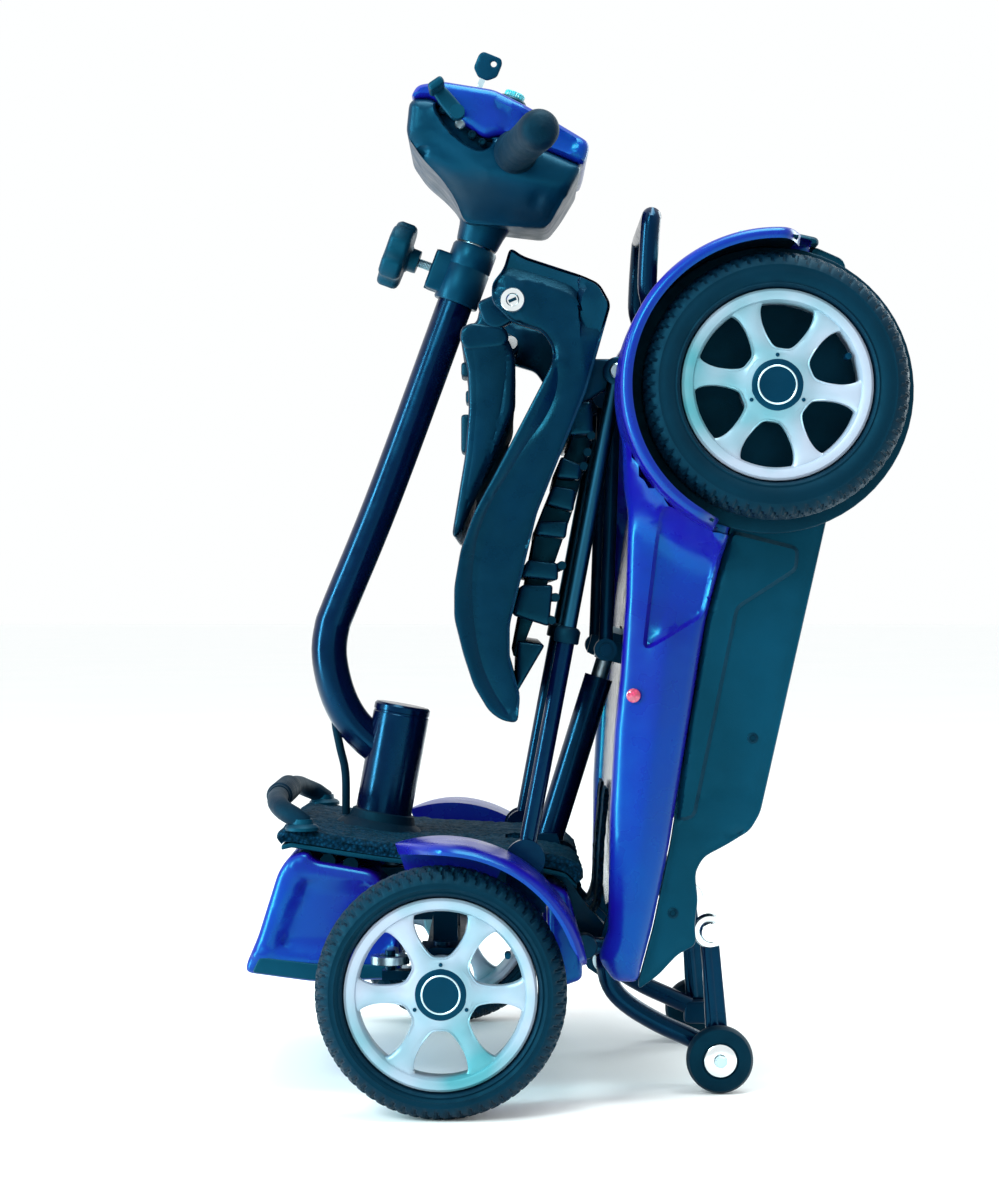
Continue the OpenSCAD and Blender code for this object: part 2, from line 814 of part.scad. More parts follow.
// ---- seat and its linkage ----
module seat_leg(side) {
  y = side * 150;
  axis = seat_pivot - leg_pivot;
  mid = leg_pivot + axis * 0.46;
  color("#0f4450")
    difference() {
      union() {
        bar_xz(leg_pivot + axis * 0.03, mid, y, leg_d);
        rod_y(leg_pivot[0], leg_pivot[1], y - 7, y + 7, 28);
        bar_xz(mid - axis * 0.012, mid + axis * 0.012, y, leg_d + 6);
      }
      rod_y(leg_pivot[0], leg_pivot[1], y - 20, y + 20, 16 + 2 * run_gap);
    }
  color("#b8c8d4")
    difference() {
      union() {
        bar_xz(mid, seat_pivot - axis * 0.02, y, leg_d - 1.5);
        rod_y(seat_pivot[0], seat_pivot[1], y - 7, y + 7, 22);
      }
      rod_y(seat_pivot[0], seat_pivot[1], y - 20, y + 20, pin_d + 2 * run_gap);
    }
}
module seat_leg_left() {
  seat_leg(-1);
}
module seat_leg_right() {
  seat_leg(1);
}
link_end = [454.5, 115.8];
module seat_support_links() {
  color("#123c48")
    on_rear()
      for (side = [-1, 1])
        difference() {
          union() {
            bar_xz(link_pivot, link_end, side * 114, 11);
            rod_y(link_pivot[0], link_pivot[1], side * 114 - 7, side * 114 + 7, 18);
            rod_y(link_end[0], link_end[1], side * 114 - 7, side * 114 + 7, 20);
          }
          rod_y(link_pivot[0], link_pivot[1], side * 114 - 10, side * 114 + 10, 10 + 2 * run_gap);
        }
}
seat_left = [
  [-42, 662], [-47, 645], [-56, 634], [-56, 620], [-40, 604], [-17, 597], [-9, 585], [-9, 573],
  [-36, 521], [-56, 483], [-70, 457], [-80, 429], [-85, 400], [-85, 376], [-78, 348], [-70, 324],
  [-58, 304], [-48, 297], [-36, 295]
];
seat_right = [
  [-34, 316], [-42, 345], [-42, 371], [-21, 457], [-5, 497], [17, 551], [27, 586], [36, 618],
  [27, 634], [14, 640], [-32, 655]
];
module seat_shell() {
  right_in = [for (i = [0 : 7]) seat_right[i] - [6, -1.5]];
  back_strip = concat([for (i = [0 : 7]) seat_right[i]], [for (i = [7 : -1 : 0]) right_in[i]]);
  color("#0f5060")
    difference() {
      union() {
        for (side = [-1, 1])
          slab(side > 0 ? 170 : -seat_half, side > 0 ? seat_half : -170)
            polygon(concat(seat_left, seat_right));
        slab(-171, 171) polygon(back_strip);
        slab(-171, 171) polygon([[36, 618], [27, 634], [14, 640], [-12, 648.5], [-13, 644.5], [12, 636], [24, 631], [31, 617]]);
        for (i = [0 : 5])
          slab(-140, 140)
            let (z = 372 + 38 * i, x = -39 + 0.244 * 38 * i + 0.7 * i)
              polygon([[x, z - 9], [x + 24 - i * 1.2, z - 6], [x + 24 - i * 1.2, z + 12], [x + 4, z + 12]]);
        for (side = [-1, 1])
          slab(side * 133 - 7, side * 133 + 7)
            polygon([[12, 540], [30, 554], [52, 560], [54, 576], [44, 580], [20, 580]]);
      }
      rod_y(back_pivot[0], back_pivot[1], -200, 200, pin_d);
    }
  color("#9aa8b4")
    for (side = [-1, 1])
      rod_y(seat_pivot[0], seat_pivot[1], side > 0 ? 130 : -158.5, side > 0 ? 158.5 : -130, pin_d);
  color("#d8e2ea")
    for (side = [-1, 1])
      rod_y(back_pivot[0], back_pivot[1], side > 0 ? 146 : -192, side > 0 ? 192 : -146, pin_d);
}
module seat_cushion() {
  color("#0f4450")
    slab(-145, 145)
      polygon([
        [-30, 516], [-50, 480], [-64, 455], [-74, 428], [-79, 400], [-79, 377], [-72, 350], [-64, 328],
        [-53, 308], [-46, 304], [-42, 316], [-49.5, 344], [-49.5, 372], [-28.5, 459], [-12.5, 500],
        [4, 542], [-16, 542]
      ]);
}
module backrest() {
  color("#0f5060")
    difference() {
      union() {
        slab(-back_half, back_half)
          polygon([
            [-64, 624], [-55, 618], [-44, 592], [-36, 582], [-36, 571], [-37, 537], [-58, 491],
            [-78.5, 446], [-84, 438], [-87, 441], [-77, 502], [-74, 539], [-75, 569], [-80, 590],
            [-80, 603], [-68, 606]
          ]);
        for (side = [-1, 1])
          slab(side * 158 - 8, side * 158 + 8) {
            translate(back_pivot) circle(r = 12);
            polygon([[-66, 622], [-44, 632], [-34, 611], [-58, 600]]);
          }
      }
      slab(-200, 200) translate(back_pivot) circle(d = pin_d + 2 * run_gap);
    }
}
actuator_run = actuator_eye - actuator_foot;
actuator_len = norm(actuator_run);
module on_actuator() {
  translate([actuator_foot[0], 0, actuator_foot[1]])
    rotate([0, atan2(actuator_run[0], actuator_run[1]), 0])
      children();
}
module actuator_tube() {
  color("#123c48")
    on_actuator()
      difference() {
        union() {
          translate([0, 0, 6]) cylinder(d = 24, h = 140);
          rotate([90, 0, 0]) translate([0, 0, -12]) cylinder(d = 20, h = 24);
        }
        rotate([90, 0, 0]) translate([0, 0, -20]) cylinder(d = 8 + 2 * run_gap, h = 40);
        translate([0, 0, 14]) cylinder(d = 14 + 2 * run_gap, h = 140);
      }
}
module actuator_rod() {
  color("#b8c8d4")
    on_actuator()
      difference() {
        union() {
          translate([0, 0, 16]) cylinder(d = 14, h = actuator_len - 24);
          translate([-9, -9, actuator_len - 16]) cube([18, 18, 28]);
        }
        translate([0, 20, actuator_len]) rotate([90, 0, 0]) cylinder(d = 14, h = 40);
        translate([0, -20, actuator_len - 7]) cube([20, 40, 14]);
      }
}

from_middle() front_rails();
from_middle() front_cross_tubes();
from_middle() front_axle_beam();
from_middle() head_tube();
from_middle() hinge_pin();
from_middle() leg_pivot_brackets();
from_middle() deck_tray();
from_middle() deck_mat();
from_middle() front_shroud();
from_middle() deck_tail_cover();
from_middle() front_fender_left();
from_middle() front_fender_right();
from_middle() front_lift_handle();
from_middle() trolley_stand_left();
from_middle() trolley_stand_right();
from_middle() stand_latch_arms();
from_middle() trolley_wheel_left();
from_middle() trolley_wheel_right();
from_middle() steering_column();
from_middle() steering_shaft();
from_middle() tiller_tube();
from_middle() tiller_cable();
from_middle() clamp_collar();
from_middle() clamp_knob();
from_middle() tie_rod();
from_middle() knuckle_left();
from_middle() knuckle_right();
from_middle() front_rim_left();
from_middle() front_rim_right();
from_middle() front_tyre_left();
from_middle() front_tyre_right();
from_middle() head_post();
from_middle() head_lower_shell();
from_middle() head_upper_shell();
from_middle() hand_grips();
from_middle() throttle_lever();
from_middle() ignition_key();
from_middle() speed_dial();
from_middle() rear_rails();
from_middle() rear_top_panel();
from_middle() rear_cover_left();
from_middle() rear_cover_right();
from_middle() case_side_left();
from_middle() case_side_right();
from_middle() underbody_tray();
from_middle() rear_transaxle();
from_middle() battery_pack();
from_middle() rear_carry_loop();
from_middle() rear_rim_left();
from_middle() rear_rim_right();
from_middle() rear_tyre_left();
from_middle() rear_tyre_right();
from_middle() seat_leg_left();
from_middle() seat_leg_right();
from_middle() seat_support_links();
from_middle() seat_shell();
from_middle() seat_cushion();
from_middle() backrest();
from_middle() actuator_tube();
from_middle() actuator_rod();
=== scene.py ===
"""Looks for a folding mobility scooter that stands folded on its front wheels and two trolley wheels.

Lengths in this file are millimetres until a piece is made. X points to the rear of the scooter, Y to the
rider's right and Z up, as in the frame. Outlines of the front half are written from the design origin of the
frame's hinge, and outlines of the rear half along the folded body: u up the body, v towards the seat.
"""

import json
import math

import bmesh
import bpy
import numpy as np
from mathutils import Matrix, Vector, noise
from mathutils.geometry import delaunay_2d_cdt


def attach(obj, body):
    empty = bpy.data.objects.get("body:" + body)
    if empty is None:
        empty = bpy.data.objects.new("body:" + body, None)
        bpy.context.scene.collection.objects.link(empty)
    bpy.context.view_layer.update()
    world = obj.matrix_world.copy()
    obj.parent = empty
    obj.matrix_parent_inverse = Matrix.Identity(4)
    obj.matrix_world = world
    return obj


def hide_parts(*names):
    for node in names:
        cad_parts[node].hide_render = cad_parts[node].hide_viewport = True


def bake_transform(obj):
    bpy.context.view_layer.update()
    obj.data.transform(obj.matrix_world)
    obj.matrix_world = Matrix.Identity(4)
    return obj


MM = 0.001
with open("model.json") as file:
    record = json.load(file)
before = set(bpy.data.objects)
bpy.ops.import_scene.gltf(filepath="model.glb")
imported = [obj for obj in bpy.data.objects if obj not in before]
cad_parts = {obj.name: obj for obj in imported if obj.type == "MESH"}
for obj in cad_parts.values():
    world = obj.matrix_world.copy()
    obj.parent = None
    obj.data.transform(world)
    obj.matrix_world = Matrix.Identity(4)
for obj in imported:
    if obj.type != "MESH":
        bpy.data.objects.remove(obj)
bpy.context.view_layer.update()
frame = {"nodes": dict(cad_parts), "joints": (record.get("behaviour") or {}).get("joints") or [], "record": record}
nodes = frame["nodes"]
joints = {joint["name"]: joint for joint in frame["joints"]}
SIDES = (("left", -1), ("right", 1))


# ---- places taken from the frame ----
def joint_place(name):
    """A joint's own point, in millimetres."""
    return np.array(joints[name]["pos_m"]) / MM


DESIGN_HINGE = (35.0, 100.0)
BODY_ANGLE = math.radians(74.85)
hinge = joint_place("main_fold")
shift_x = hinge[0] - DESIGN_HINGE[0]


def front(points):
    """Design points of the front half, as row frame (x, z)."""
    return [(x + shift_x, z) for x, z in points]


def rear(points):
    """Points (u, v) of the rear body's own frame, as row frame (x, z)."""
    c, s = math.cos(BODY_ANGLE), math.sin(BODY_ANGLE)
    return [(hinge[0] + u * c - v * s, hinge[2] + u * s + v * c) for u, v in points]


def front_point(x, z):
    """One design point of the front half in the frame."""
    return front([(x, z)])[0]


def rear_point(u, v):
    """One point of the rear body in the frame."""
    return rear([(u, v)])[0]


# ---- curves ----
def arc(centre, radius, start, end, count):
    """Points of a circular arc, in degrees."""
    turns = np.radians(np.linspace(start, end, count + 1))
    return [(centre[0] + radius * math.cos(t), centre[1] + radius * math.sin(t)) for t in turns]


def soften(points, radius, count=4):
    """A closed outline whose corners are rounded off."""
    out = []
    total = len(points)
    for i, corner in enumerate(points):
        corner = np.array(corner, float)
        before = np.array(points[i - 1], float) - corner
        after = np.array(points[(i + 1) % total], float) - corner
        cut_before = min(radius, 0.45 * np.linalg.norm(before))
        cut_after = min(radius, 0.45 * np.linalg.norm(after))
        first = corner + before / np.linalg.norm(before) * cut_before
        last = corner + after / np.linalg.norm(after) * cut_after
        for t in np.linspace(0, 1, count + 1):
            out.append(tuple((1 - t) ** 2 * first + 2 * t * (1 - t) * corner + t * t * last))
    return out


def spline(points, step):
    """A smooth open curve through the points, with a point about every step."""
    pts = [np.array(p, float) for p in points]
    out = []
    for i in range(len(pts) - 1):
        p1 = pts[i]
        p2 = pts[i + 1]
        p0 = pts[i - 1] if i else 2 * p1 - p2
        p3 = pts[i + 2] if i + 2 < len(pts) else 2 * p2 - p1
        bend = 2 * p0 - 5 * p1 + 4 * p2 - p3
        twist = 3 * p1 - p0 - 3 * p2 + p3
        count = max(1, int(round(np.linalg.norm(p2 - p1) / step)))
        for t in (k / count for k in range(count)):
            out.append(0.5 * (2 * p1 + (p2 - p0) * t + bend * t * t + twist * t**3))
    out.append(pts[-1])
    return out


def resample(loop, step):
    """The same closed outline with no edge longer than step."""
    out = []
    for i, start in enumerate(loop):
        start = np.array(start, float)
        end = np.array(loop[(i + 1) % len(loop)], float)
        length = np.linalg.norm(end - start)
        if length < 0.05:
            continue
        count = max(1, int(math.ceil(length / step)))
        out += [tuple(start + (end - start) * k / count) for k in range(count)]
    return out


def distance(points, loop, closed=True):
    """Distance from each point to a polyline."""
    points = np.asarray(points, float)
    best = np.full(len(points), 1e9)
    loop = np.asarray(loop, float)
    ends = np.roll(loop, -1, 0) if closed else loop[1:]
    starts = loop if closed else loop[:-1]
    for a, b in zip(starts, ends):
        d = b - a
        t = np.clip(((points - a) @ d) / max(d @ d, 1e-9), 0, 1)
        best = np.minimum(best, np.linalg.norm(points - (a + t[:, None] * d), axis=1))
    return best


def inside(points, loop):
    """Which points lie inside a closed outline."""
    points = np.asarray(points, float)
    hit = np.zeros(len(points), bool)
    loop = np.asarray(loop, float)
    for a, b in zip(loop, np.roll(loop, -1, 0)):
        crosses = (a[1] > points[:, 1]) != (b[1] > points[:, 1])
        with np.errstate(divide="ignore", invalid="ignore"):
            x = (b[0] - a[0]) * (points[:, 1] - a[1]) / (b[1] - a[1]) + a[0]
        hit ^= crosses & (points[:, 0] < x)
    return hit


def signed(points, loop):
    """Distance to a closed outline, positive inside it."""
    return np.where(inside(points, loop), 1, -1) * distance(points, loop)


def ramp(value, low, high):
    """A smooth step from 0 at low to 1 at high."""
    t = np.clip((value - low) / (high - low), 0, 1)
    return t * t * (3 - 2 * t)


def front_loop(points, radius):
    """A closed outline of the front half with rounded corners."""
    return front(soften(points, radius))


def rear_loop(points, radius):
    """A closed outline of the rear body with rounded corners."""
    return rear(soften(points, radius))


def above(points, line):
    """How far each (x, z) point lies over a line given from left to right."""
    return points[:, 1] - np.interp(points[:, 0], [p[0] for p in line], [p[1] for p in line])


def near(points, line, width):
    """A smooth ridge, 1 on an open line and fading out over the width."""
    return np.exp(-((distance(points, line, False) / width) ** 2))


# ---- solids, each returned as (points, faces) ----
def lathe(origin, axis, profile, count=64):
    """A solid of revolution from (radius, distance along the axis) points.

    A profile that ends on its first point makes a ring; any other is capped at both of its ends.
    """
    origin = Vector(origin)
    axis = Vector(axis).normalized()
    side = axis.orthogonal().normalized()
    other = axis.cross(side)
    ring = profile[0] == profile[-1]
    if ring:
        profile = profile[:-1]
    n = len(profile)
    verts = []
    for i in range(count):
        turn = math.radians(360.0 * i / count)
        out = side * math.cos(turn) + other * math.sin(turn)
        verts += [origin + out * r + axis * a for r, a in profile]
    faces = []
    for i in range(count):
        a = i * n
        b = (i + 1) % count * n
        for k in range(n if ring else n - 1):
            after = (k + 1) % n
            faces.append((a + k, a + after, b + after, b + k))
    if not ring:
        for k in (0, n - 1):
            if profile[k][0] > 1e-6:
                faces.append(tuple(i * n + k for i in range(count)))
    return verts, faces


def sweep(path, radius, count=18):
    """A round bar along a path, with closed ends."""
    pts = [Vector(p) for p in path]
    radii = radius if isinstance(radius, (list, tuple)) else [radius] * len(pts)
    tangent = (pts[1] - pts[0]).normalized()
    side = tangent.orthogonal().normalized()
    verts, faces = [], []
    for i, p in enumerate(pts):
        ahead = pts[min(i + 1, len(pts) - 1)] - pts[max(i - 1, 0)]
        ahead.normalize()
        side = (side - ahead * side.dot(ahead)).normalized()
        other = ahead.cross(side)
        for k in range(count):
            turn = 2 * math.pi * k / count
            verts.append(p + (side * math.cos(turn) + other * math.sin(turn)) * radii[i])
    for i in range(len(pts) - 1):
        for k in range(count):
            a, b = i * count + k, i * count + (k + 1) % count
            faces.append((a, b, b + count, a + count))
    faces.append(tuple(range(count)))
    last = (len(pts) - 1) * count
    faces.append(tuple(last + k for k in range(count)))
    return verts, faces


def form(loops, y0, y1, edge=3.0, crown=0.0, reach=40.0, step=9.0, detail=None, creases=(), spans=1):
    """A moulded shape: outlines in XZ run from y0 to y1, with rounded edges and crowned ends.

    The first loop is the outside and the others are holes. detail(points) moves the two end faces outwards
    by that many millimetres, and creases are polylines where the mesh must follow a sharp feature.
    """
    loops = [resample(loop, min(step, 5.0)) for loop in loops]
    flat = [p for loop in loops for p in loop]
    borders, at = [], 0
    for loop in loops:
        borders.append(list(range(at, at + len(loop))))
        at += len(loop)
    lows, highs = np.min(flat, 0), np.max(flat, 0)
    grid = [
        (x + (0.5 * step if j % 2 else 0), z)
        for j, z in enumerate(np.arange(lows[1], highs[1], step * 0.87))
        for x in np.arange(lows[0], highs[0], step)
    ]
    extra = []
    for loop in loops:
        ring = np.array(loop)
        along = np.roll(ring, -1, 0) - np.roll(ring, 1, 0)
        out = np.stack([along[:, 1], -along[:, 0]], 1)
        out /= np.linalg.norm(out, axis=1)[:, None] + 1e-9
        for depth in (0.12 * edge, 0.45 * edge, edge):
            for sign in (-1, 1):
                offset = ring + out * depth * sign
                extra.append(offset[distance(offset, ring) > 0.9 * depth])
    for line in creases:
        line = np.array(line)
        along = np.gradient(line, axis=0)
        out = np.stack([along[:, 1], -along[:, 0]], 1)
        out /= np.linalg.norm(out, axis=1)[:, None] + 1e-9
        extra += [line + out * d for d in (-1.6, 0.0, 1.6)]
    features = np.concatenate(extra) if extra else np.zeros((0, 2))
    grid = np.array(grid)
    if len(features):
        keep = np.array([np.min(np.abs(features - g).sum(1)) > 0.55 * step for g in grid])
        grid = grid[keep]
    fill = np.concatenate([grid, features])
    ok = inside(fill, loops[0]) & (distance(fill, loops[0]) > 0.08 * edge)
    for hole in loops[1:]:
        ok &= ~inside(fill, hole) & (distance(fill, hole) > 0.08 * edge)
    fill = fill[ok]
    _, unique = np.unique(np.round(fill / 0.35).astype(int), axis=0, return_index=True)
    fill = fill[np.sort(unique)]
    points = [Vector(p) for p in flat] + [Vector(p) for p in fill]
    edges = [(b[i], b[(i + 1) % len(b)]) for b in borders for i in range(len(b))]
    coords, _, tris, origins, _, _ = delaunay_2d_cdt(points, edges, [], 0, 1e-4)
    coords = np.array([tuple(c) for c in coords])
    middles = np.array([coords[list(t)].mean(0) for t in tris])
    good = inside(middles, loops[0])
    for hole in loops[1:]:
        good &= ~inside(middles, hole)
    tris = [t for t, g in zip(tris, good) if g]
    place = {source: i for i, sources in enumerate(origins) for source in sources}
    rim = np.full(len(coords), 1e9)
    for loop in loops:
        rim = np.minimum(rim, distance(coords, loop))
    inner = np.clip(edge - rim, 0, edge)
    height = -(edge - np.sqrt(np.maximum(edge**2 - inner**2, 0)))
    height += crown * (1 - np.exp(-((rim / reach) ** 2))) - crown
    if detail is not None:
        height += detail(coords) * ramp(rim, 0.0, 1.5)
    used = sorted({i for t in tris for i in t})
    index = {old: new for new, old in enumerate(used)}
    n = len(used)
    verts = [(coords[i][0], y0 - height[i], coords[i][1]) for i in used]
    verts += [(coords[i][0], y1 + height[i], coords[i][1]) for i in used]
    faces = [tuple(index[i] for i in t) for t in tris]
    faces += [tuple(n + index[i] for i in reversed(t)) for t in tris]
    for border in borders:
        ring = [index[place[b]] for b in border if place.get(b) in index]
        levels = [ring]
        for k in range(1, spans):
            level = []
            for i in ring:
                a, b = np.array(verts[i]), np.array(verts[i + n])
                verts.append(tuple(a + (b - a) * k / spans))
                level.append(len(verts) - 1)
            levels.append(level)
        levels.append([i + n for i in ring])
        for low, high in zip(levels, levels[1:]):
            for k in range(len(ring)):
                nxt = (k + 1) % len(ring)
                faces.append((low[k], low[nxt], high[nxt], high[k]))
    return verts, faces


def block(x, y, z, edge=1.5):
    """A box between two corners with rounded edges round its two Y ends and softened corners."""
    corners = [(x[0], z[0]), (x[1], z[0]), (x[1], z[1]), (x[0], z[1])]
    return form([soften(corners, edge * 1.4)], y[0], y[1], edge=edge, step=12.0)


def hoop(centre, section, start, end, count, taper=None):
    """A section of (radius, y) points swept round a Y axis between two angles, with closed ends."""
    n = len(section)
    verts, faces = [], []
    for i in range(count + 1):
        t = i / count
        turn = math.radians(start + (end - start) * t)
        ring = section if taper is None else taper(section, t)
        verts += [(centre[0] + r * math.cos(turn), y, centre[1] + r * math.sin(turn)) for r, y in ring]
    for i in range(count):
        for k in range(n):
            a, b = i * n + k, i * n + (k + 1) % n
            faces.append((a, b, b + n, a + n))
    faces.append(tuple(range(n)))
    faces.append(tuple(count * n + k for k in range(n)))
    return verts, faces


def notched(part, x, y, z):
    """A solid with a box cut out of it, by an exact Boolean."""
    made = []
    for verts, faces in (part, block(x, y, z, 0.5)):
        mesh = bpy.data.meshes.new("notch")
        mesh.from_pydata([tuple(v) for v in verts], [], faces)
        bm = bmesh.new()
        bm.from_mesh(mesh)
        bmesh.ops.recalc_face_normals(bm, faces=bm.faces)
        bm.to_mesh(mesh)
        bm.free()
        made.append(bpy.data.objects.new("notch", mesh))
        bpy.context.scene.collection.objects.link(made[-1])
    solid, cutter = made
    cut = solid.modifiers.new("cut", "BOOLEAN")
    cut.operation = "DIFFERENCE"
    cut.solver = "EXACT"
    cut.object = cutter
    bpy.context.view_layer.update()
    left = solid.evaluated_get(bpy.context.evaluated_depsgraph_get()).to_mesh()
    out = [tuple(v.co) for v in left.vertices], [tuple(f.vertices) for f in left.polygons]
    solid.to_mesh_clear()
    for obj in made:
        mesh = obj.data
        bpy.data.objects.remove(obj)
        bpy.data.meshes.remove(mesh)
    return out


def mirrored(part):
    """The same solid on the other side of the scooter."""
    return [(v[0], -v[1], v[2]) for v in part[0]], [tuple(reversed(f)) for f in part[1]]


def sided(part, side):
    """A solid written for the left side, moved to the wanted side."""
    return part if side < 0 else mirrored(part)


def turned(part, origin, x_axis, y_axis, z_axis):
    """A solid written round the origin, placed on three axes of its own."""
    return [tuple(origin + x_axis * v[0] + y_axis * v[1] + z_axis * v[2]) for v in part[0]], part[1]


# ---- pieces ----
replaced = set()


class Piece:
    """Gathers solids, in millimetres, into one object of several materials."""

    def __init__(self, name):
        self.name = name
        self.verts = []
        self.faces = []
        self.slots = []
        self.mats = []

    def add(self, part, material):
        """Adds one solid in one material."""
        if material not in self.mats:
            self.mats.append(material)
        start = len(self.verts)
        self.verts += [tuple(v) for v in part[0]]
        self.faces += [tuple(i + start for i in face) for face in part[1]]
        self.slots += [self.mats.index(material)] * len(part[1])
        return self

    def mould(self, loops, y0, y1, material, side=-1, **shape):
        """Adds a moulded solid, written for the left side and mirrored for the right."""
        self.add(sided(form(loops, y0, y1, **shape), side), material)

    def bar(self, path, radius, count, material, side=-1):
        """Adds a round bar, written for the left side and mirrored for the right."""
        self.add(sided(sweep(path, radius, count), side), material)

    def turn(self, place, axis, profile, count, material, side=-1):
        """Adds a lathed solid, written for the left side and mirrored for the right."""
        self.add(sided(lathe(place, axis, profile, count), side), material)

    def make(self, body, stands_for=(), slot=None, sharp=38.0):
        """Makes the object, names the nodes it stands for and lets it ride on its body."""
        mesh = bpy.data.meshes.new(self.name)
        mesh.from_pydata([Vector(v) * MM for v in self.verts], [], self.faces)
        for material in self.mats:
            mesh.materials.append(material)
        mesh.polygons.foreach_set("material_index", self.slots)
        work = bmesh.new()
        work.from_mesh(mesh)
        bmesh.ops.recalc_face_normals(work, faces=work.faces)
        work.to_mesh(mesh)
        work.free()
        mesh.shade_smooth()
        mesh.set_sharp_from_angle(angle=math.radians(sharp))
        obj = bpy.data.objects.new(self.name, mesh)
        bpy.context.scene.collection.objects.link(obj)
        if stands_for:
            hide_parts(*stands_for)
            replaced.update(stands_for)
        if body:
            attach(obj, body)
        return obj


# ---- materials ----
class Look:
    """One procedural material on a Principled shader."""

    def __init__(self, name, **sockets):
        self.material = bpy.data.materials.new(name)
        self.material.use_nodes = True
        self.tree = self.material.node_tree
        self.shader = self.tree.nodes["Principled BSDF"]
        for socket, value in sockets.items():
            self.shader.inputs[socket.replace("_", " ")].default_value = value
        coordinates = self.tree.nodes.new("ShaderNodeTexCoord")
        self.place = coordinates.outputs["Object"]
        self.bump = None

    def node(self, kind, **values):
        """Adds a shader node with its settings."""
        made = self.tree.nodes.new(kind)
        for key, value in values.items():
            setattr(made, key, value)
        return made

    def link(self, a, b):
        """Joins two sockets."""
        self.tree.links.new(a, b)

    def noise(self, scale, detail=4.0, stretch=None):
        """A noise pattern, optionally stretched."""
        made = self.node("ShaderNodeTexNoise")
        made.inputs["Scale"].default_value = scale
        made.inputs["Detail"].default_value = detail
        self.link(self.stretched(stretch), made.inputs["Vector"])
        return made.outputs["Fac"]

    def stretched(self, stretch):
        """The object coordinates, scaled by three factors when they are given."""
        if stretch is None:
            return self.place
        mapping = self.node("ShaderNodeMapping")
        mapping.inputs["Scale"].default_value = stretch
        self.link(self.place, mapping.inputs["Vector"])
        return mapping.outputs["Vector"]

    def cells(self, scale, feature="F1"):
        """The distance of a cell pattern."""
        made = self.node("ShaderNodeTexVoronoi", feature=feature)
        made.inputs["Scale"].default_value = scale
        self.link(self.place, made.inputs["Vector"])
        return made.outputs["Distance"]

    def colours(self, source, *stops):
        """Base colour from a value through a ramp of (position, colour) stops."""
        made = self.node("ShaderNodeValToRGB")
        points = made.color_ramp.elements
        while len(points) < len(stops):
            points.new(0.5)
        for point, (position, colour) in zip(points, stops):
            point.position = position
            point.color = (*colour, 1)
        self.link(source, made.inputs["Fac"])
        self.link(made.outputs["Color"], self.shader.inputs["Base Color"])
        return self

    def roughness(self, source, low, high):
        """Drives the roughness between two values."""
        made = self.node("ShaderNodeMapRange")
        made.inputs["From Min"].default_value = 0.3
        made.inputs["From Max"].default_value = 0.7
        made.inputs["To Min"].default_value = low
        made.inputs["To Max"].default_value = high
        self.link(source, made.inputs["Value"])
        self.link(made.outputs["Result"], self.shader.inputs["Roughness"])
        return self

    def relief(self, source, height, strength=1.0):
        """Adds a layer of bump, height in millimetres."""
        made = self.node("ShaderNodeBump")
        made.inputs["Strength"].default_value = strength
        made.inputs["Distance"].default_value = height * MM
        self.link(source, made.inputs["Height"])
        if self.bump is not None:
            self.link(self.bump, made.inputs["Normal"])
        self.bump = made.outputs["Normal"]
        self.link(self.bump, self.shader.inputs["Normal"])
        return self


TEAL_GLINT = (0.06, 0.62, 0.95, 1)


def moulded_plastic(name, deep, pale, rough, grain=900.0, height=0.12):
    """Textured black plastic with a fine spark-eroded grain and slight scuffing."""
    look = Look(name, Specular_Tint=TEAL_GLINT, IOR=1.42)
    patches = look.noise(14, 6)
    look.colours(patches, (0.3, deep), (0.62, pale), (0.8, [1.25 * c for c in pale]))
    look.roughness(look.noise(60, 5), rough - 0.07, rough + 0.1)
    look.relief(look.cells(grain), height, 0.55)
    look.relief(look.noise(120, 3), 0.1, 0.3)
    return look.material


def blue_paint():
    """Deep violet-blue gloss with a fine metallic flake and a clear coat; broad noise patches shift the base
    colour towards cyan as painted reflection.
    """
    look = Look(
        "blue_gloss", Specular_Tint=(0.02, 0.85, 1.0, 1), IOR=1.55, Coat_Weight=0.04,
        Coat_Roughness=0.05,
    )
    flake = look.noise(1500, 2)
    reflection_patches = look.noise(7, 3)
    mix = look.node("ShaderNodeMath", operation="ADD")
    half = look.node("ShaderNodeMath", operation="MULTIPLY")
    half.inputs[1].default_value = 0.35
    look.link(flake, half.inputs[0])
    look.link(reflection_patches, mix.inputs[0])
    look.link(half.outputs[0], mix.inputs[1])
    # The top stop, a cyan-tinted blue, is painted reflection where the broad patches run high.
    look.colours(
        mix.outputs[0], (0.5, (0.008, 0.0, 0.15)), (0.72, (0.005, 0.0006, 0.18)),
        (0.95, (0.0015, 0.02, 0.22)),
    )
    look.roughness(look.noise(40, 4), 0.24, 0.34)
    look.relief(look.noise(22, 2), 0.25, 0.18)
    return look.material


def enamel(name, deep, pale, rough):
    """Hard glossy enamel on steel tube, with orange peel and faint patches of tone."""
    look = Look(name, Specular_Tint=(0.02, 0.5, 0.95, 1), IOR=1.45, Coat_Weight=0.03, Coat_Roughness=0.1)
    look.colours(look.noise(25, 5), (0.35, deep), (0.7, pale))
    look.roughness(look.noise(90, 4), rough - 0.05, rough + 0.08)
    look.relief(look.noise(260, 2), 0.12, 0.25)
    return look.material


def tyre_rubber():
    """Near-black rubber of the tyres, with a blue-green glint."""
    look = Look("tyre_rubber", Specular_Tint=TEAL_GLINT, IOR=1.4)
    look.colours(look.noise(30, 6), (0.3, (0.0002, 0.002, 0.008)), (0.7, (0.0004, 0.005, 0.014)))
    look.roughness(look.noise(80, 4), 0.5, 0.7)
    look.relief(look.noise(700, 4), 0.18, 0.5)
    look.relief(look.cells(260), 0.12, 0.25)
    return look.material


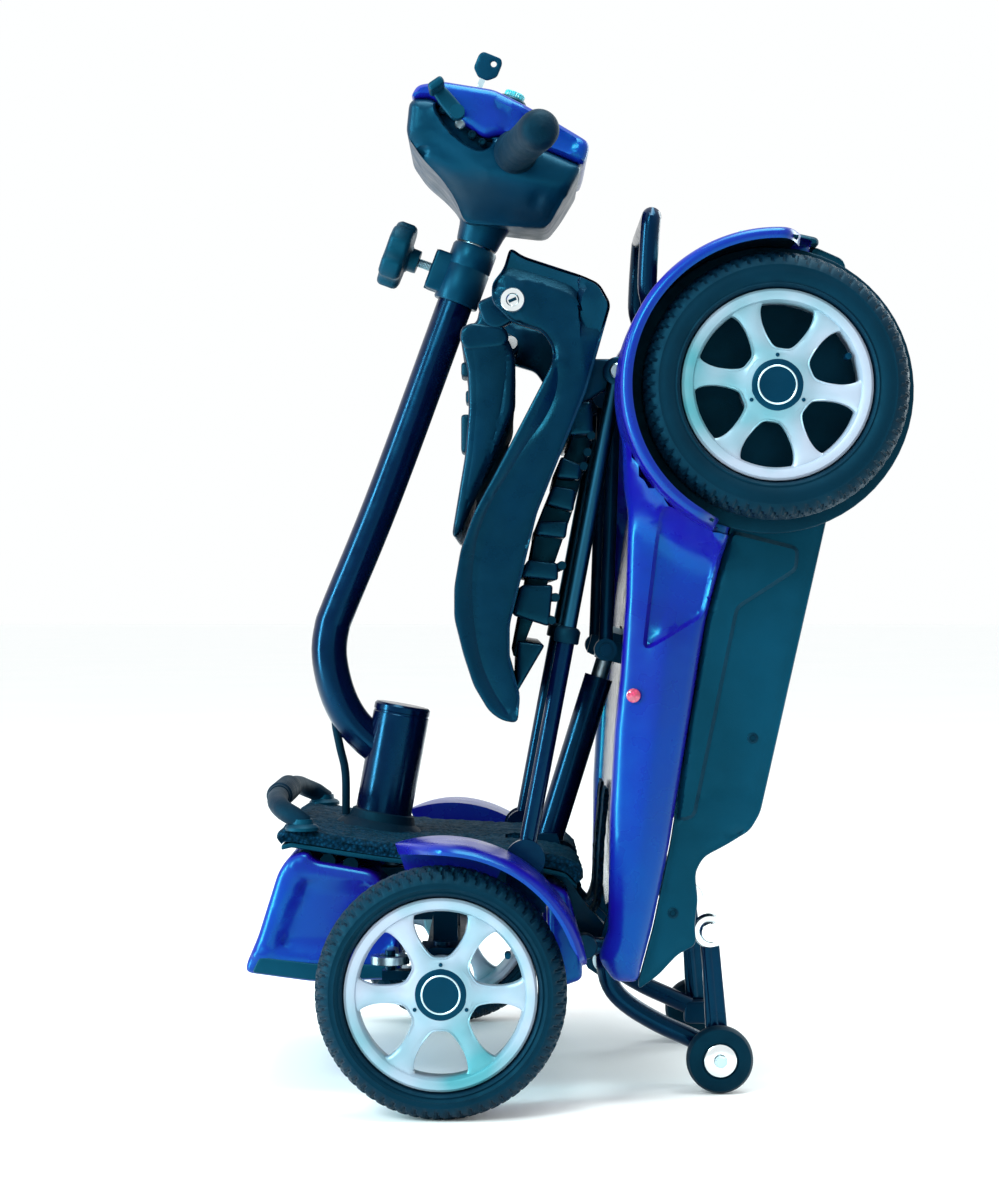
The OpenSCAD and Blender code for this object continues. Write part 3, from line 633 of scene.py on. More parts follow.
def soft_rubber():
    """Soft black rubber of the grips."""
    look = Look(
        "grip_rubber", Specular_Tint=TEAL_GLINT, IOR=1.36, Sheen_Weight=0.02,
        Sheen_Tint=(0.05, 0.5, 0.8, 1),
    )
    look.colours(look.noise(45, 5), (0.3, (0.0002, 0.001, 0.006)), (0.7, (0.0004, 0.003, 0.012)))
    look.roughness(look.noise(70, 4), 0.55, 0.75)
    look.relief(look.cells(520), 0.2, 0.5)
    return look.material


def rim_paint():
    """Pale silver lacquer over cast alloy, with noise patches of darker cyan that are painted shade."""
    look = Look("rim_silver", Metallic=0.2, Specular_Tint=(0.55, 0.95, 1.0, 1), IOR=1.5, Coat_Weight=0.1)
    # The darker cyan stop is painted shade, after the shading in the rim's hollows, scattered by noise over the
    # pale lavender-grey.
    look.colours(look.noise(9, 3), (0.34, (0.05, 0.22, 0.26)), (0.52, (0.30, 0.34, 0.42)))
    look.roughness(look.noise(60, 4), 0.28, 0.4)
    look.relief(look.noise(900, 3), 0.06, 0.35)
    return look.material


def bright_metal(name, colour, rough):
    """Plated or polished steel with faint drawing lines."""
    look = Look(name, Metallic=1.0, Specular_Tint=(0.85, 1.0, 1.0, 1))
    look.colours(look.noise(30, 5), (0.3, [0.85 * c for c in colour]), (0.7, colour))
    look.roughness(look.noise(50, 5, (1, 1, 0.05)), rough, rough + 0.14)
    look.relief(look.noise(600, 3, (1, 1, 0.04)), 0.05, 0.4)
    return look.material


def cast_alloy():
    """Dull grey cast metal."""
    look = Look("cast_alloy", Metallic=0.6, Specular_Tint=(0.6, 0.95, 1.0, 1))
    look.colours(look.noise(40, 6), (0.3, (0.10, 0.16, 0.20)), (0.7, (0.18, 0.25, 0.30)))
    look.roughness(look.noise(80, 4), 0.45, 0.62)
    look.relief(look.noise(500, 5), 0.3, 0.5)
    return look.material


def carpet():
    """Looped rubber-backed mat: a knobbly open surface with dark pits."""
    look = Look(
        "mat_loops", Specular_Tint=TEAL_GLINT, IOR=1.33, Sheen_Weight=0.05,
        Sheen_Tint=(0.05, 0.5, 0.8, 1),
    )
    look.colours(
        look.cells(330), (0.1, (0.001, 0.022, 0.052)), (0.45, (0.0004, 0.006, 0.020)),
        (0.8, (0.0, 0.0005, 0.004)),
    )
    look.roughness(look.noise(90, 4), 0.7, 0.9)
    look.relief(look.cells(330), 1.4, 0.9)
    look.relief(look.noise(900, 4), 0.4, 0.6)
    return look.material


def vinyl():
    """Padded seat vinyl with a leather-like grain."""
    look = Look(
        "seat_vinyl", Specular_Tint=TEAL_GLINT, IOR=1.42, Sheen_Weight=0.05,
        Sheen_Tint=(0.05, 0.5, 0.8, 1),
    )
    look.colours(look.noise(12, 5), (0.3, (0.0003, 0.004, 0.012)), (0.7, (0.0006, 0.010, 0.024)))
    look.roughness(look.noise(45, 4), 0.42, 0.58)
    look.relief(look.cells(420, "DISTANCE_TO_EDGE"), 0.35, 0.5)
    look.relief(look.noise(24, 3), 0.8, 0.25)
    return look.material


def lens(name, colour):
    """Reflector lens: clear plastic over small prisms."""
    look = Look(name, Specular_Tint=(0.8, 1, 1, 1), IOR=1.6, Coat_Weight=0.8, Coat_Roughness=0.05)
    look.colours(look.cells(420), (0.1, colour), (0.6, [0.55 * c for c in colour]))
    look.roughness(look.noise(60, 3), 0.12, 0.22)
    look.relief(look.cells(420), 0.4, 0.6)
    return look.material


def studio_floor():
    """The near-white floor."""
    look = Look("studio_floor", Specular_Tint=(0.8, 1, 1, 1), IOR=1.2)
    look.colours(look.noise(1.5, 3), (0.3, (0.965, 0.985, 0.985)), (0.7, (0.985, 0.995, 0.995)))
    look.roughness(look.noise(6, 3), 0.75, 0.9)
    look.relief(look.noise(300, 3), 0.1, 0.2)
    return look.material


BODY_BLUE = blue_paint()
CASE = moulded_plastic("case_black", (0.0005, 0.013, 0.026), (0.0010, 0.022, 0.044), 0.42)
SHELL = moulded_plastic("seat_shell_black", (0.0002, 0.0025, 0.010), (0.0004, 0.007, 0.022), 0.3)
HEAD = moulded_plastic("head_black", (0.0003, 0.008, 0.022), (0.0006, 0.016, 0.040), 0.36, 1100, 0.1)
DARK = moulded_plastic("deep_black", (0.0003, 0.002, 0.008), (0.0006, 0.005, 0.014), 0.5)
ENAMEL = enamel("black_enamel", (0.0004, 0.0008, 0.012), (0.0006, 0.002, 0.018), 0.2)
FRAME = enamel("frame_enamel", (0.0004, 0.003, 0.014), (0.0008, 0.007, 0.020), 0.34)
PANEL = enamel("panel_gloss", (0.0004, 0.002, 0.012), (0.0008, 0.005, 0.018), 0.16)
RUBBER = tyre_rubber()
GRIP = soft_rubber()
SILVER = rim_paint()
STEEL = bright_metal("bright_steel", (0.46, 0.60, 0.66), 0.24)
ROD_STEEL = bright_metal("rod_steel", (0.012, 0.075, 0.13), 0.26)
CHROME = bright_metal("polished_cap", (0.84, 0.90, 0.92), 0.12)
ALLOY = cast_alloy()
MAT = carpet()
VINYL = vinyl()
CYAN_LENS = lens("cyan_lens", (0.02, 0.55, 0.65))
RED_LENS = lens("red_lens", (0.55, 0.02, 0.10))
FLOOR = studio_floor()


# ---- floor, light and camera ----
def studio():
    """Adds the round white floor."""
    mesh = bpy.data.meshes.new("floor")
    rings = 64
    reach = 40.0
    verts = [(0, 0, 0)] + [
        (reach * math.cos(2 * math.pi * i / rings), reach * math.sin(2 * math.pi * i / rings), 0)
        for i in range(rings)
    ]
    mesh.from_pydata(verts, [], [(0, i + 1, (i + 1) % rings + 1) for i in range(rings)])
    mesh.materials.append(FLOOR)
    floor = bpy.data.objects.new("floor", mesh)
    bpy.context.scene.collection.objects.link(floor)


def softbox(name, place, target, size, power, colour=(1, 1, 1)):
    """Adds one rectangular area light that faces a target."""
    light = bpy.data.lights.new(name, "AREA")
    light.shape = "RECTANGLE"
    light.size, light.size_y = size
    light.energy = power
    light.color = colour
    obj = bpy.data.objects.new(name, light)
    obj.location = place
    obj.rotation_euler = (Vector(target) - Vector(place)).to_track_quat("-Z", "Y").to_euler()
    bpy.context.scene.collection.objects.link(obj)


def lights():
    """Adds the white world and the softboxes."""
    world = bpy.data.worlds.new("studio_world")
    world.use_nodes = True
    world.node_tree.nodes["Background"].inputs["Color"].default_value = (0.99, 1.0, 1.0, 1)
    world.node_tree.nodes["Background"].inputs["Strength"].default_value = 1.0
    bpy.context.scene.world = world
    middle = (0, 0, 0.4)
    softbox("key_softbox", (-1.5, -2.3, 1.9), middle, (0.9, 0.9), 62, (0.90, 1.0, 1.0))
    softbox("top_softbox", (0.3, -0.4, 2.6), middle, (1.4, 1.4), 70, (0.90, 1.0, 1.0))
    softbox("side_strip", (-2.2, -0.8, 0.6), middle, (0.3, 1.8), 75, (0.5, 0.92, 1.0))
    softbox("back_strip", (1.8, 1.9, 1.2), middle, (0.8, 1.8), 26, (0.9, 1.0, 1.0))


def camera():
    """The photograph's own view: level, from the rider's left, with a long lens."""
    data = bpy.data.cameras.new("camera")
    data.sensor_width = 36
    data.lens = 78.5
    obj = bpy.data.objects.new("camera", data)
    obj.location = ((shift_x - 50) * MM, -2.2, 0.39)
    obj.rotation_euler = (math.radians(90), 0, 0)
    bpy.context.scene.collection.objects.link(obj)
    bpy.context.scene.camera = obj
    bpy.context.scene.view_settings.view_transform = "Standard"


studio()
lights()
camera()

# ---- road wheels ----
GROOVE_DEPTH = 2.3
BOLT_CIRCLE = 22.4
FRONT_WHEEL = dict(radius=95.0, width=44.0, seat=73.0, phase=0.0)
REAR_WHEEL = dict(radius=100.0, width=50.0, seat=72.0, phase=-8.0)
SPOKES = 6
TREAD_BLOCKS = 66


def tyre_solid(centre, radius, width, seat):
    """A tyre with a rounded casing, moulded sidewall rings and slanted shoulder blocks."""
    half = width / 2
    right = [
        (seat, half - 7), (seat + 1.5, half - 3), (seat + 3.2, half - 1.6), (seat + 4.4, half - 2.3),
        (seat + 7, half - 0.9), (radius - 15, half), (radius - 13, half - 0.6),
        (radius - 11, half - 0.2), (radius - 8.5, half - 1.2), (radius - 5.2, half - 3.6),
        (radius - 2.9, half - 7), (radius - 1.5, half - 11), (radius - 1.1, half - 12.2),
        (radius - 0.4, half - 13.4), (radius, half - 17),
    ]
    profile = right + [(r, -a) for r, a in reversed(right)]
    count = TREAD_BLOCKS * 8
    verts, faces = [], []
    n = len(profile)
    for i in range(count):
        for k, (r, a) in enumerate(profile):
            turn = i / count
            lean = abs(a) * 0.055
            phase = (turn * TREAD_BLOCKS + lean + (0.5 if a > 0 else 0)) % 1.0
            groove = 1.0 if phase < 0.3 else 0.0
            zone = ramp(r, radius - 9.5, radius - 6.5) * (1 - 0.75 * ramp(half - abs(a), 12.5, 15))
            depth = GROOVE_DEPTH * groove * zone
            angle = 2 * math.pi * turn
            verts.append(
                (
                    centre[0] + (r - depth) * math.cos(angle), centre[1] + a,
                    centre[2] + (r - depth) * math.sin(angle),
                )
            )
        for k in range(n):
            a, b = i * n + k, i * n + (k + 1) % n
            c, d = ((i + 1) % count) * n + (k + 1) % n, ((i + 1) % count) * n + k
            faces.append((a, b, c, d))
    return verts, faces


def spoke_window(centre, seat, start):
    """The opening between the spoke at start degrees and the next one."""
    pitch = 360 / SPOKES
    waist = [(27.0, 8.6), (36.0, 6.8), (46.0, 6.6), (54.0, 8.2), (seat - 12.0, 11.5)]
    out = []
    for angle, sign, pairs in ((start, 1, waist), (start + pitch, -1, waist[::-1])):
        t = math.radians(angle)
        for r, w in pairs:
            out.append((r * math.cos(t) - sign * w * math.sin(t), r * math.sin(t) + sign * w * math.cos(t)))
        if sign == 1:
            gap = math.degrees(math.atan2(13.0, seat - 11.0))
            out += arc((0, 0), seat - 9.5, start + gap + 3, start + pitch - gap - 3, 8)
    return [(centre[0] + p, centre[2] + q) for p, q in soften(out, 3.5, 3)]


def rim_pieces(name, side, centre, width, seat, phase):
    """Cast wheel: dished spoke face with six windows, barrel, hub, bolts, valve and a plain cap."""
    half = width / 2
    face = centre[1] + side * (half - 5)
    back = centre[1] + side * (half - 19)
    rim = Piece(name)

    def dish(points):
        r = np.linalg.norm(points - np.array([centre[0], centre[2]]), axis=1)
        return 2.2 * ramp(r, 30, seat - 12) - 2.6 + 1.2 * ramp(r, 27, 22)

    loops = [arc((centre[0], centre[2]), seat - 5, 0, 360, 96)[:-1]]
    loops += [spoke_window(centre, seat, phase + i * 360 / SPOKES) for i in range(SPOKES)]
    solid = form(
        loops, min(face, back), max(face, back), edge=3.4, crown=0.5, reach=6, step=5.0, detail=dish
    )
    rim.add(solid, SILVER)
    axis = (0, side, 0)
    lip = [
        (seat - 11, half - 16), (seat - 10.4, half - 7), (seat - 8.6, half - 4.2), (seat - 6, half - 3.2),
        (seat - 2.5, half - 3.4), (seat - 0.6, half - 5.4), (seat - 0.4, 6 - half), (seat - 3, 3.6 - half),
        (seat - 7, 3.4 - half), (seat - 8.5, 6 - half), (seat - 9, half - 20), (seat - 11, half - 16),
    ]
    rim.turn(centre, axis, lip, 128, SILVER)
    hub = [
        (8.2, 2 - half), (24, 2 - half), (25.5, 4 - half), (26.5, half - 19), (25.4, half - 8.6),
        (24.2, half - 7.2), (20.6, half - 6.6), (20.0, half - 9.0), (8.2, half - 9.2), (8.2, 2 - half),
    ]
    rim.turn(centre, axis, hub, 72, SILVER)
    cap = [
        (0, half - 10), (19.4, half - 10), (19.6, half - 6.6), (18.2, half - 5.9), (12.5, half - 5.6),
        (0, half - 5.3),
    ]
    rim.turn(centre, axis, cap, 64, HEAD)
    groove = [(13.2, half - 5.9), (14.2, half - 5.35), (15.2, half - 5.9)]
    rim.turn(centre, axis, groove + [groove[0]], 64, STEEL)
    for i in range(3):
        t = math.radians(90 + 120 * i)
        bolt = Vector(centre) + Vector((BOLT_CIRCLE * math.cos(t), 0, BOLT_CIRCLE * math.sin(t)))
        rim.turn(
            bolt, axis,
            [(0, half - 9), (1.5, half - 9), (1.5, half - 6.2), (0.8, half - 5.9), (0, half - 5.9)], 12,
            HEAD,
        )
    t = math.radians(phase + 30)
    valve = Vector(centre) + Vector(((seat - 15) * math.cos(t), 0, (seat - 15) * math.sin(t)))
    stem = [
        (0, half - 18), (2.6, half - 18), (2.2, half - 11), (2.6, half - 10.6), (2.4, half - 6),
        (0, half - 5.6),
    ]
    rim.turn(valve, axis, stem, 14, HEAD)
    return rim


def road_wheels():
    """Dresses the four road wheels."""
    for name, side in SIDES:
        for end, joint, sizes in (
            ("front", "front_roll_", FRONT_WHEEL),
            ("rear", "rear_roll_", REAR_WHEEL),
        ):
            centre = joint_place(joint + name)
            body = f"{end}_wheel_{name}"
            tyre = Piece(f"{end}_tread_{name}")
            tyre.add(tyre_solid(centre, sizes["radius"], sizes["width"], sizes["seat"]), RUBBER)
            tyre.make(body, [f"{end}_tyre_{name}"], "tyre", sharp=30)
            rim = rim_pieces(
                f"{end}_alloy_{name}", side, centre, sizes["width"], sizes["seat"], sizes["phase"]
            )
            rim.make(body, [f"{end}_rim_{name}"], "wheel_grey", sharp=32)


def trolley_wheels():
    """Dresses the two small trolley wheels."""
    for name, side in SIDES:
        centre = joint_place("trolley_roll_" + name)
        wheel = Piece("stand_roller_" + name)
        tread = [
            (5.2, -9), (20, -9), (24.3, -7.6), (26.2, -4.6), (26.5, 0), (26.2, 4.6), (24.3, 7.6),
            (20, 9), (14.5, 9), (14.0, 7.4), (5.2, 7.4), (5.2, -9),
        ]
        wheel.turn(centre, (0, side, 0), tread, 72, RUBBER)
        disc = [(5.2, 6.4), (12.6, 6.6), (12.8, 9.0), (11.6, 9.8), (5.2, 9.8), (5.2, 6.4)]
        wheel.turn(centre, (0, side, 0), disc, 40, CHROME)
        wheel.make("trolley_" + name, ["trolley_wheel_" + name], "tyre")
        nut = Piece("stand_axle_nut_" + name)
        shape = [(0, 9.9), (5.4, 9.9), (5.4, 13.2), (4.2, 14.2), (2.2, 14.2), (2.0, 13.2), (0, 13.2)]
        nut.turn(centre, (0, side, 0), shape, 6, STEEL)
        nut.make("front_chassis", slot="bare_steel")


road_wheels()
trolley_wheels()

# ---- rear body: covers, case, fenders ----
COVER_TOP = [
    (-2, -4), (11, 12), (33, 10), (124, 33), (186, 46), (224, 52), (286, 64), (348, 79), (368, 88),
]
COVER_BOTTOM = [(584, -2), (355, 2), (282, 1), (206, -7), (111, -17), (46, -21), (2, -21)]
AXLE = (466.4, 0.0)
ARCH = 118.0
RECESS = [(359, 57), (351, 19), (336, 7.5), (287, 5), (250, 41)]
RIDGE = [(20, -6), (120, 8), (210, 20), (262, 27)]
CASE_LOW = [
    (2, -22), (-4, -24), (11, -36), (30, -46), (41, -58), (55, -53), (75, -50), (90, -44), (97, -43),
    (108, -46), (122, -61), (137, -75), (152, -79), (268, -74), (389, -69), (550, -58), (563, -38),
    (580, -30), (584, -4),
]
CASE_HIGH = [(355, 1), (282, 0), (206, -8), (111, -18), (46, -22)]
CASE_BAND = [(355, -1), (356, -53), (340, -56), (300, -20), (136, -30), (130, -19), (206, -9), (282, -2)]
COVER_INNER = -161.0


def cover_loop():
    """The outline of a side cover, with the wheel arch cut in."""
    return soften(COVER_TOP + arc(AXLE, ARCH, 124, 5, 24) + COVER_BOTTOM, 5)


def side_covers():
    """Adds the two blue covers of the rear body."""
    outline = cover_loop()
    recess = soften(RECESS, 7)
    world_recess = rear(resample(recess, 3.0))
    ridge = rear(spline(RIDGE, 6))
    wheel = np.array(rear_point(*AXLE))

    def relief(points):
        sunk = -6.0 * ramp(signed(points, world_recess), -2.6, 2.6)
        raised = 5.0 * near(points, ridge, 10.0)
        below = ramp(distance(points, ridge, False), 8, 34)
        out = np.linalg.norm(points - wheel, axis=1) - ARCH
        flare = 30.0 * np.exp(-((np.maximum(out, 0) / 15.0) ** 2)) * (out > -3)
        return sunk + raised - 2.0 * below + flare

    for name, side in SIDES:
        shell = Piece("side_cover_" + name)
        solid = form(
            [rear(outline)], -200, COVER_INNER, edge=9, crown=1.5, reach=30, step=7, detail=relief,
            creases=[world_recess, world_recess[:1] + world_recess[-1:]],
        )
        flat = [(x, min(y, COVER_INNER), z) for x, y, z in solid[0]]
        shell.add(sided((flat, solid[1]), side), BODY_BLUE)
        shell.make("rear_chassis", ["rear_cover_" + name], "blue_cover", sharp=42)
        well = Piece("wheel_well_" + name)
        disc = arc(AXLE, ARCH - 8.5, 0, 360, 64)[:-1]
        well.mould([rear(disc)], -203.5, -200.2, DARK, side, edge=1.2, step=14)
        well.make("rear_chassis", slot="case_black")


def rear_fenders():
    """Adds the rear mudguards and their dark linings."""
    wheel = rear_point(*AXLE)
    turn = math.degrees(BODY_ANGLE)
    section = [
        (ARCH - 5.5, -197), (ARCH - 0.4, -197), (ARCH + 0.0, -205), (ARCH - 0.4, -230),
        (ARCH - 0.8, -246), (ARCH - 0.4, -252), (ARCH - 1.0, -257), (ARCH - 3.2, -261),
        (ARCH - 7.0, -262), (ARCH - 9.6, -260.4), (ARCH - 9.2, -258.0), (ARCH - 6.4, -257.6),
        (ARCH - 4.6, -254), (ARCH - 4.6, -246), (ARCH - 5.2, -230),
    ]

    def tips(ring, t):
        """Draws the outer lip in towards the body at both tips."""
        pull = 1 - 0.55 * max(0.0, 1 - t / 0.05) ** 2 - 0.35 * max(0.0, (t - 0.94) / 0.06) ** 2
        return [(r, -197 + (y + 197) * pull) for r, y in ring]

    for name, side in SIDES:
        fender = Piece("rear_fender_" + name)
        fender.add(sided(hoop(wheel, section, turn + 5, turn + 172, 96, tips), side), BODY_BLUE)
        fender.make("rear_chassis", slot="blue_cover", sharp=50)
        lining = Piece("rear_fender_lining_" + name)
        inner = [
            (ARCH - 8.2, -199), (ARCH - 6.0, -199), (ARCH - 5.8, -230), (ARCH - 5.2, -252),
            (ARCH - 7.4, -252),
        ]
        lining.add(sided(hoop(wheel, inner, turn + 7, turn + 170, 72), side), DARK)
        lining.make("rear_chassis", slot="case_black", sharp=50)


def case():
    """Adds the dark case between the side covers."""
    band = rear(resample(soften(CASE_BAND, 5), 4))
    step_line = rear(spline([(136, -75), (128, -56), (126, -34)], 5))
    foot_line = rear(spline([(150, -30), (166, -52), (164, -72)], 5))

    def relief(points):
        lifted = 3.6 * ramp(signed(points, band), -1.6, 1.6)
        grooves = np.minimum(distance(points, step_line, False), distance(points, foot_line, False))
        return lifted - 1.6 * np.exp(-((grooves / 1.8) ** 2)) - 3.6

    outline = rear_loop(CASE_LOW + CASE_HIGH, 5)
    for name, side in SIDES:
        panel = Piece("case_panel_" + name)
        solid = form([outline], -190, -176, edge=5, crown=0.6, step=7, detail=relief, creases=[band])
        panel.add(sided(solid, side), CASE)
        for u, v in ((60, -34), (206, -58), (420, -40)):
            x, z = rear_point(u, v)
            panel.turn(
                (x, -185.2, z), (0, -1, 0),
                [(0, 0), (4.2, 0), (4.2, 1.2), (2.6, 1.9), (2.2, 1.0), (0, 1.0)], 20, DARK, side,
            )
        panel.make("rear_chassis", ["case_side_" + name], "case_black", sharp=42)
    tub = Piece("case_tub")
    bottom = [p for p in CASE_LOW if p[0] >= 131]
    loop = rear_loop([(131, -69)] + bottom + [(581, 40), (573, 44), (560, -20), (380, -36), (160, -44)], 6)
    tub.mould([loop], -176, 176, CASE, edge=2, crown=0, step=12)
    for v in (0, 1):
        rib = rear([(200 + 240 * v, -79 + 6 * v), (340 + 180 * v, -73.2 + 9 * v)])
        for y in range(-120, 121, 40):
            tub.bar([(rib[0][0], y, rib[0][1]), (rib[1][0], y, rib[1][1])], 3.4, 10, CASE)
    tub.make("rear_chassis", ["underbody_tray"], "case_black", sharp=42)
    feet = Piece("underbody_feet")
    for u, v in ((306, -75.5), (211, -79.5)):
        x, z = rear_point(u, v)
        out = Vector((math.sin(BODY_ANGLE), 0, -math.cos(BODY_ANGLE)))
        feet.turn(
            (x, -92, z), out, [(0, -2), (12.5, -2), (12.8, 1), (10.5, 4.6), (5, 6.6), (0, 7.0)], 32,
            BODY_BLUE,
        )
    feet.make("rear_chassis", slot="blue_cover")


def rear_end():
    """The reflector and bumper cap at the end of the rear body."""
    lens_loop = rear_loop([(572, 64), (592, 50), (594, 40), (586, 36), (568, 54)], 3)
    reflector = Piece("rear_reflector")
    reflector.mould([lens_loop], -120, 120, CYAN_LENS, edge=2, step=12)
    reflector.make("rear_chassis", slot="blue_cover")
    bumper = Piece("rear_bumper")
    loop = rear_loop(
        [(560, 60), (576, 56), (588, 34), (590, -6), (584, -8), (578, 8), (574, 40), (558, 52)], 4
    )
    bumper.mould([loop], -196, 196, CASE, edge=5, step=12)
    bumper.make("rear_chassis", slot="case_black")
    dot = Piece("side_reflectors")
    x, z = rear_point(214, 40)
    for _, side in SIDES:
        dome = [(0, 0), (5.4, 0), (5.4, 1.2), (4.4, 2.1), (0, 2.5)]
        dot.turn((x, -200.2, z), (0, -1, 0), dome, 28, RED_LENS, side)
    dot.make("rear_chassis", slot="blue_cover")


def carry_loop():
    """Adds the carrying loop and its collars."""
    path = [(520, 72), (520, 98), (530, 107), (548, 112), (572, 117), (588, 120)]
    left = [(x, -80, z) for x, z in rear(path)]
    last = rear_point(590, 120)
    corner = [(last[0], -78, last[1]), (last[0], -74, last[1] + 0.6), (last[0], -66, last[1] + 0.6)]
    whole = left + corner + [(x, -y, z) for x, y, z in reversed(left + corner)]
    loop = Piece("carry_loop")
    loop.bar(spline(whole, 7), 7.9, 20, ENAMEL)
    for _, side in SIDES:
        x, z = rear_point(520, 71)
        out = Vector((-math.sin(BODY_ANGLE), 0, math.cos(BODY_ANGLE)))
        collar = [(8.2, -3), (14, -3), (14, 2), (12, 4.5), (8.2, 5), (8.2, -3)]
        loop.turn((x, -80, z), out, collar, 28, CASE, side)
        pegs = rear([(492, 100), (520, 92)])
        loop.bar([(pegs[0][0], -80, pegs[0][1]), (pegs[1][0], -80, pegs[1][1])], 5, 14, ENAMEL, side)
    loop.make("rear_chassis", ["rear_carry_loop"], "tube_black")


side_covers()
rear_fenders()
case()
rear_end()
carry_loop()

# ---- front body: nose, deck, fenders ----
NOSE = [
    (-249, 97), (-249, 104), (-240, 125), (-224, 176), (-216, 188), (-202, 192), (-196, 184), (-150, 176),
    (-128, 150), (-128, 92), (-197, 90),
]
TAIL = [(-12, 168), (4, 160), (15, 120), (15, 92), (-8, 84), (-12, 96)]
DECK_TOP = [
    (-222, 197), (-214, 199), (-170, 192), (-135, 187), (-100, 184), (-60, 182), (-20, 180), (2, 175),
    (11, 166),
]
DECK_HALF = 138.0
MAT_THICK = 11.0
# The slot that the actuator swings through, and the two strips of folded mat beside it
ACTUATOR_SLOT = ((-45 + shift_x, 35 + shift_x), (-22.0, 22.0), (150.0, 210.0))
FOLD_MAT_HALF = 21.0
FOLD_MAT_MIDDLE = 43.0
MAT_LOOP = 3.2
FRONT_ARCH = 112.5


def nose_cover():
    """The painted nose: a rounded shell with a raked edge, a sunk side panel and a dark lower lip."""
    outline = front_loop(NOSE, 6)
    rake = front([(-236, 112), (-212, 178)])
    sill = front([(-244, 112), (-196, 107), (-130, 106)])
    panel = front_loop([(-222, 118), (-204, 170), (-150, 166), (-134, 146), (-134, 116)], 6)

    def relief(points):
        sunk = -2.6 * ramp(signed(points, panel), -2.0, 2.0)
        edge = 2.2 * near(points, rake, 5.0)
        lip = 2.4 * near(points, sill, 3.4)
        return sunk + edge + lip - 2.4

    cover = Piece("nose_cover")
    solid = form([outline], -150, 150, edge=7, crown=0.8, step=7, detail=relief, creases=[panel, sill])
    cover.add(solid, BODY_BLUE)
    cover.make("front_chassis", ["front_shroud"], "blue_cover", sharp=42)
    skirt = Piece("nose_skirt")
    loop = front_loop([(-244, 98), (-197, 92), (-130, 94), (-130, 104), (-196, 105), (-238, 110)], 3)
    for _, side in SIDES:
        skirt.mould([loop], -150.0, -147.2, CASE, side, edge=1.2, step=9)
    skirt.make("front_chassis", slot="case_black")
    slots = Piece("deck_buffers")
    for x in (-204, -186, -168):
        centre = front_point(x, 186 - 0.16 * (x + 204))
        for _, side in SIDES:
            buffer = [(0, 0), (6, 0), (6.4, 2), (6.4, 14), (0, 14)]
            slots.turn((centre[0], -128, centre[1]), (0, 1, 0), buffer, 20, DARK, side)
    slots.make("front_chassis", slot="rubber")


def tail_cover():
    """Adds the two blue cheeks of the deck's tail."""
    cover = Piece("tail_cover")
    solid = form([front_loop(TAIL, 5)], -150, -73, edge=5, crown=0.6, step=8)
    for _, side in SIDES:
        cover.add(sided(solid, side), BODY_BLUE)
    cover.make("front_chassis", ["deck_tail_cover"], "blue_cover", sharp=42)


def front_fenders():
    """Arched mudguards with a crowned top, a rolled outer lip and a tip that narrows at the nose end."""
    section = [
        (FRONT_ARCH - 4.6, -165), (FRONT_ARCH - 0.6, -165), (FRONT_ARCH, -172), (FRONT_ARCH, -205),
        (FRONT_ARCH - 0.2, -232), (FRONT_ARCH - 0.8, -243), (FRONT_ARCH - 2.6, -249.4),
        (FRONT_ARCH - 5.6, -252), (FRONT_ARCH - 8.4, -251), (FRONT_ARCH - 7.8, -248.4),
        (FRONT_ARCH - 5.4, -246.6), (FRONT_ARCH - 4.2, -240), (FRONT_ARCH - 4.0, -205),
        (FRONT_ARCH - 4.2, -172),
    ]

    def tips(ring, t):
        pull = 1 - 0.85 * max(0.0, (t - 0.72) / 0.28) ** 2.4 - 0.5 * max(0.0, 1 - t / 0.06) ** 2
        least = FRONT_ARCH - 3.6 - 6.0 * min(1.0, t / 0.15)
        return [(max(r, least), -165 + (y + 165) * pull) for r, y in ring]

    for name, side in SIDES:
        wheel = joint_place("front_roll_" + name)
        centre = (wheel[0], wheel[2])
        fender = Piece("front_mudguard_" + name)
        fender.add(sided(hoop(centre, section, 8.8, 109, 80, tips), side), BODY_BLUE)
        inner = hoop(
            centre, [(85, -168.2), (FRONT_ARCH - 2, -168.2), (FRONT_ARCH - 2, -165.2), (85, -165.2)],
            62, 109, 40,
        )
        fender.add(sided(inner, side), BODY_BLUE)
        bracket = front([(-118, 169.5), (-72, 176.5)])
        bar = block((bracket[0][0], bracket[1][0]), (-166, -121), (bracket[0][1], bracket[1][1]), 1.5)
        fender.add(sided(bar, side), FRAME)
        fender.make("front_chassis", ["front_fender_" + name], "blue_cover", sharp=50)


def mat_path():
    """The line that the deck mat lies along, as (x, z) points."""
    top = front(DECK_TOP)
    return spline([(x, z + 0.4) for x, z in top], 3.0)


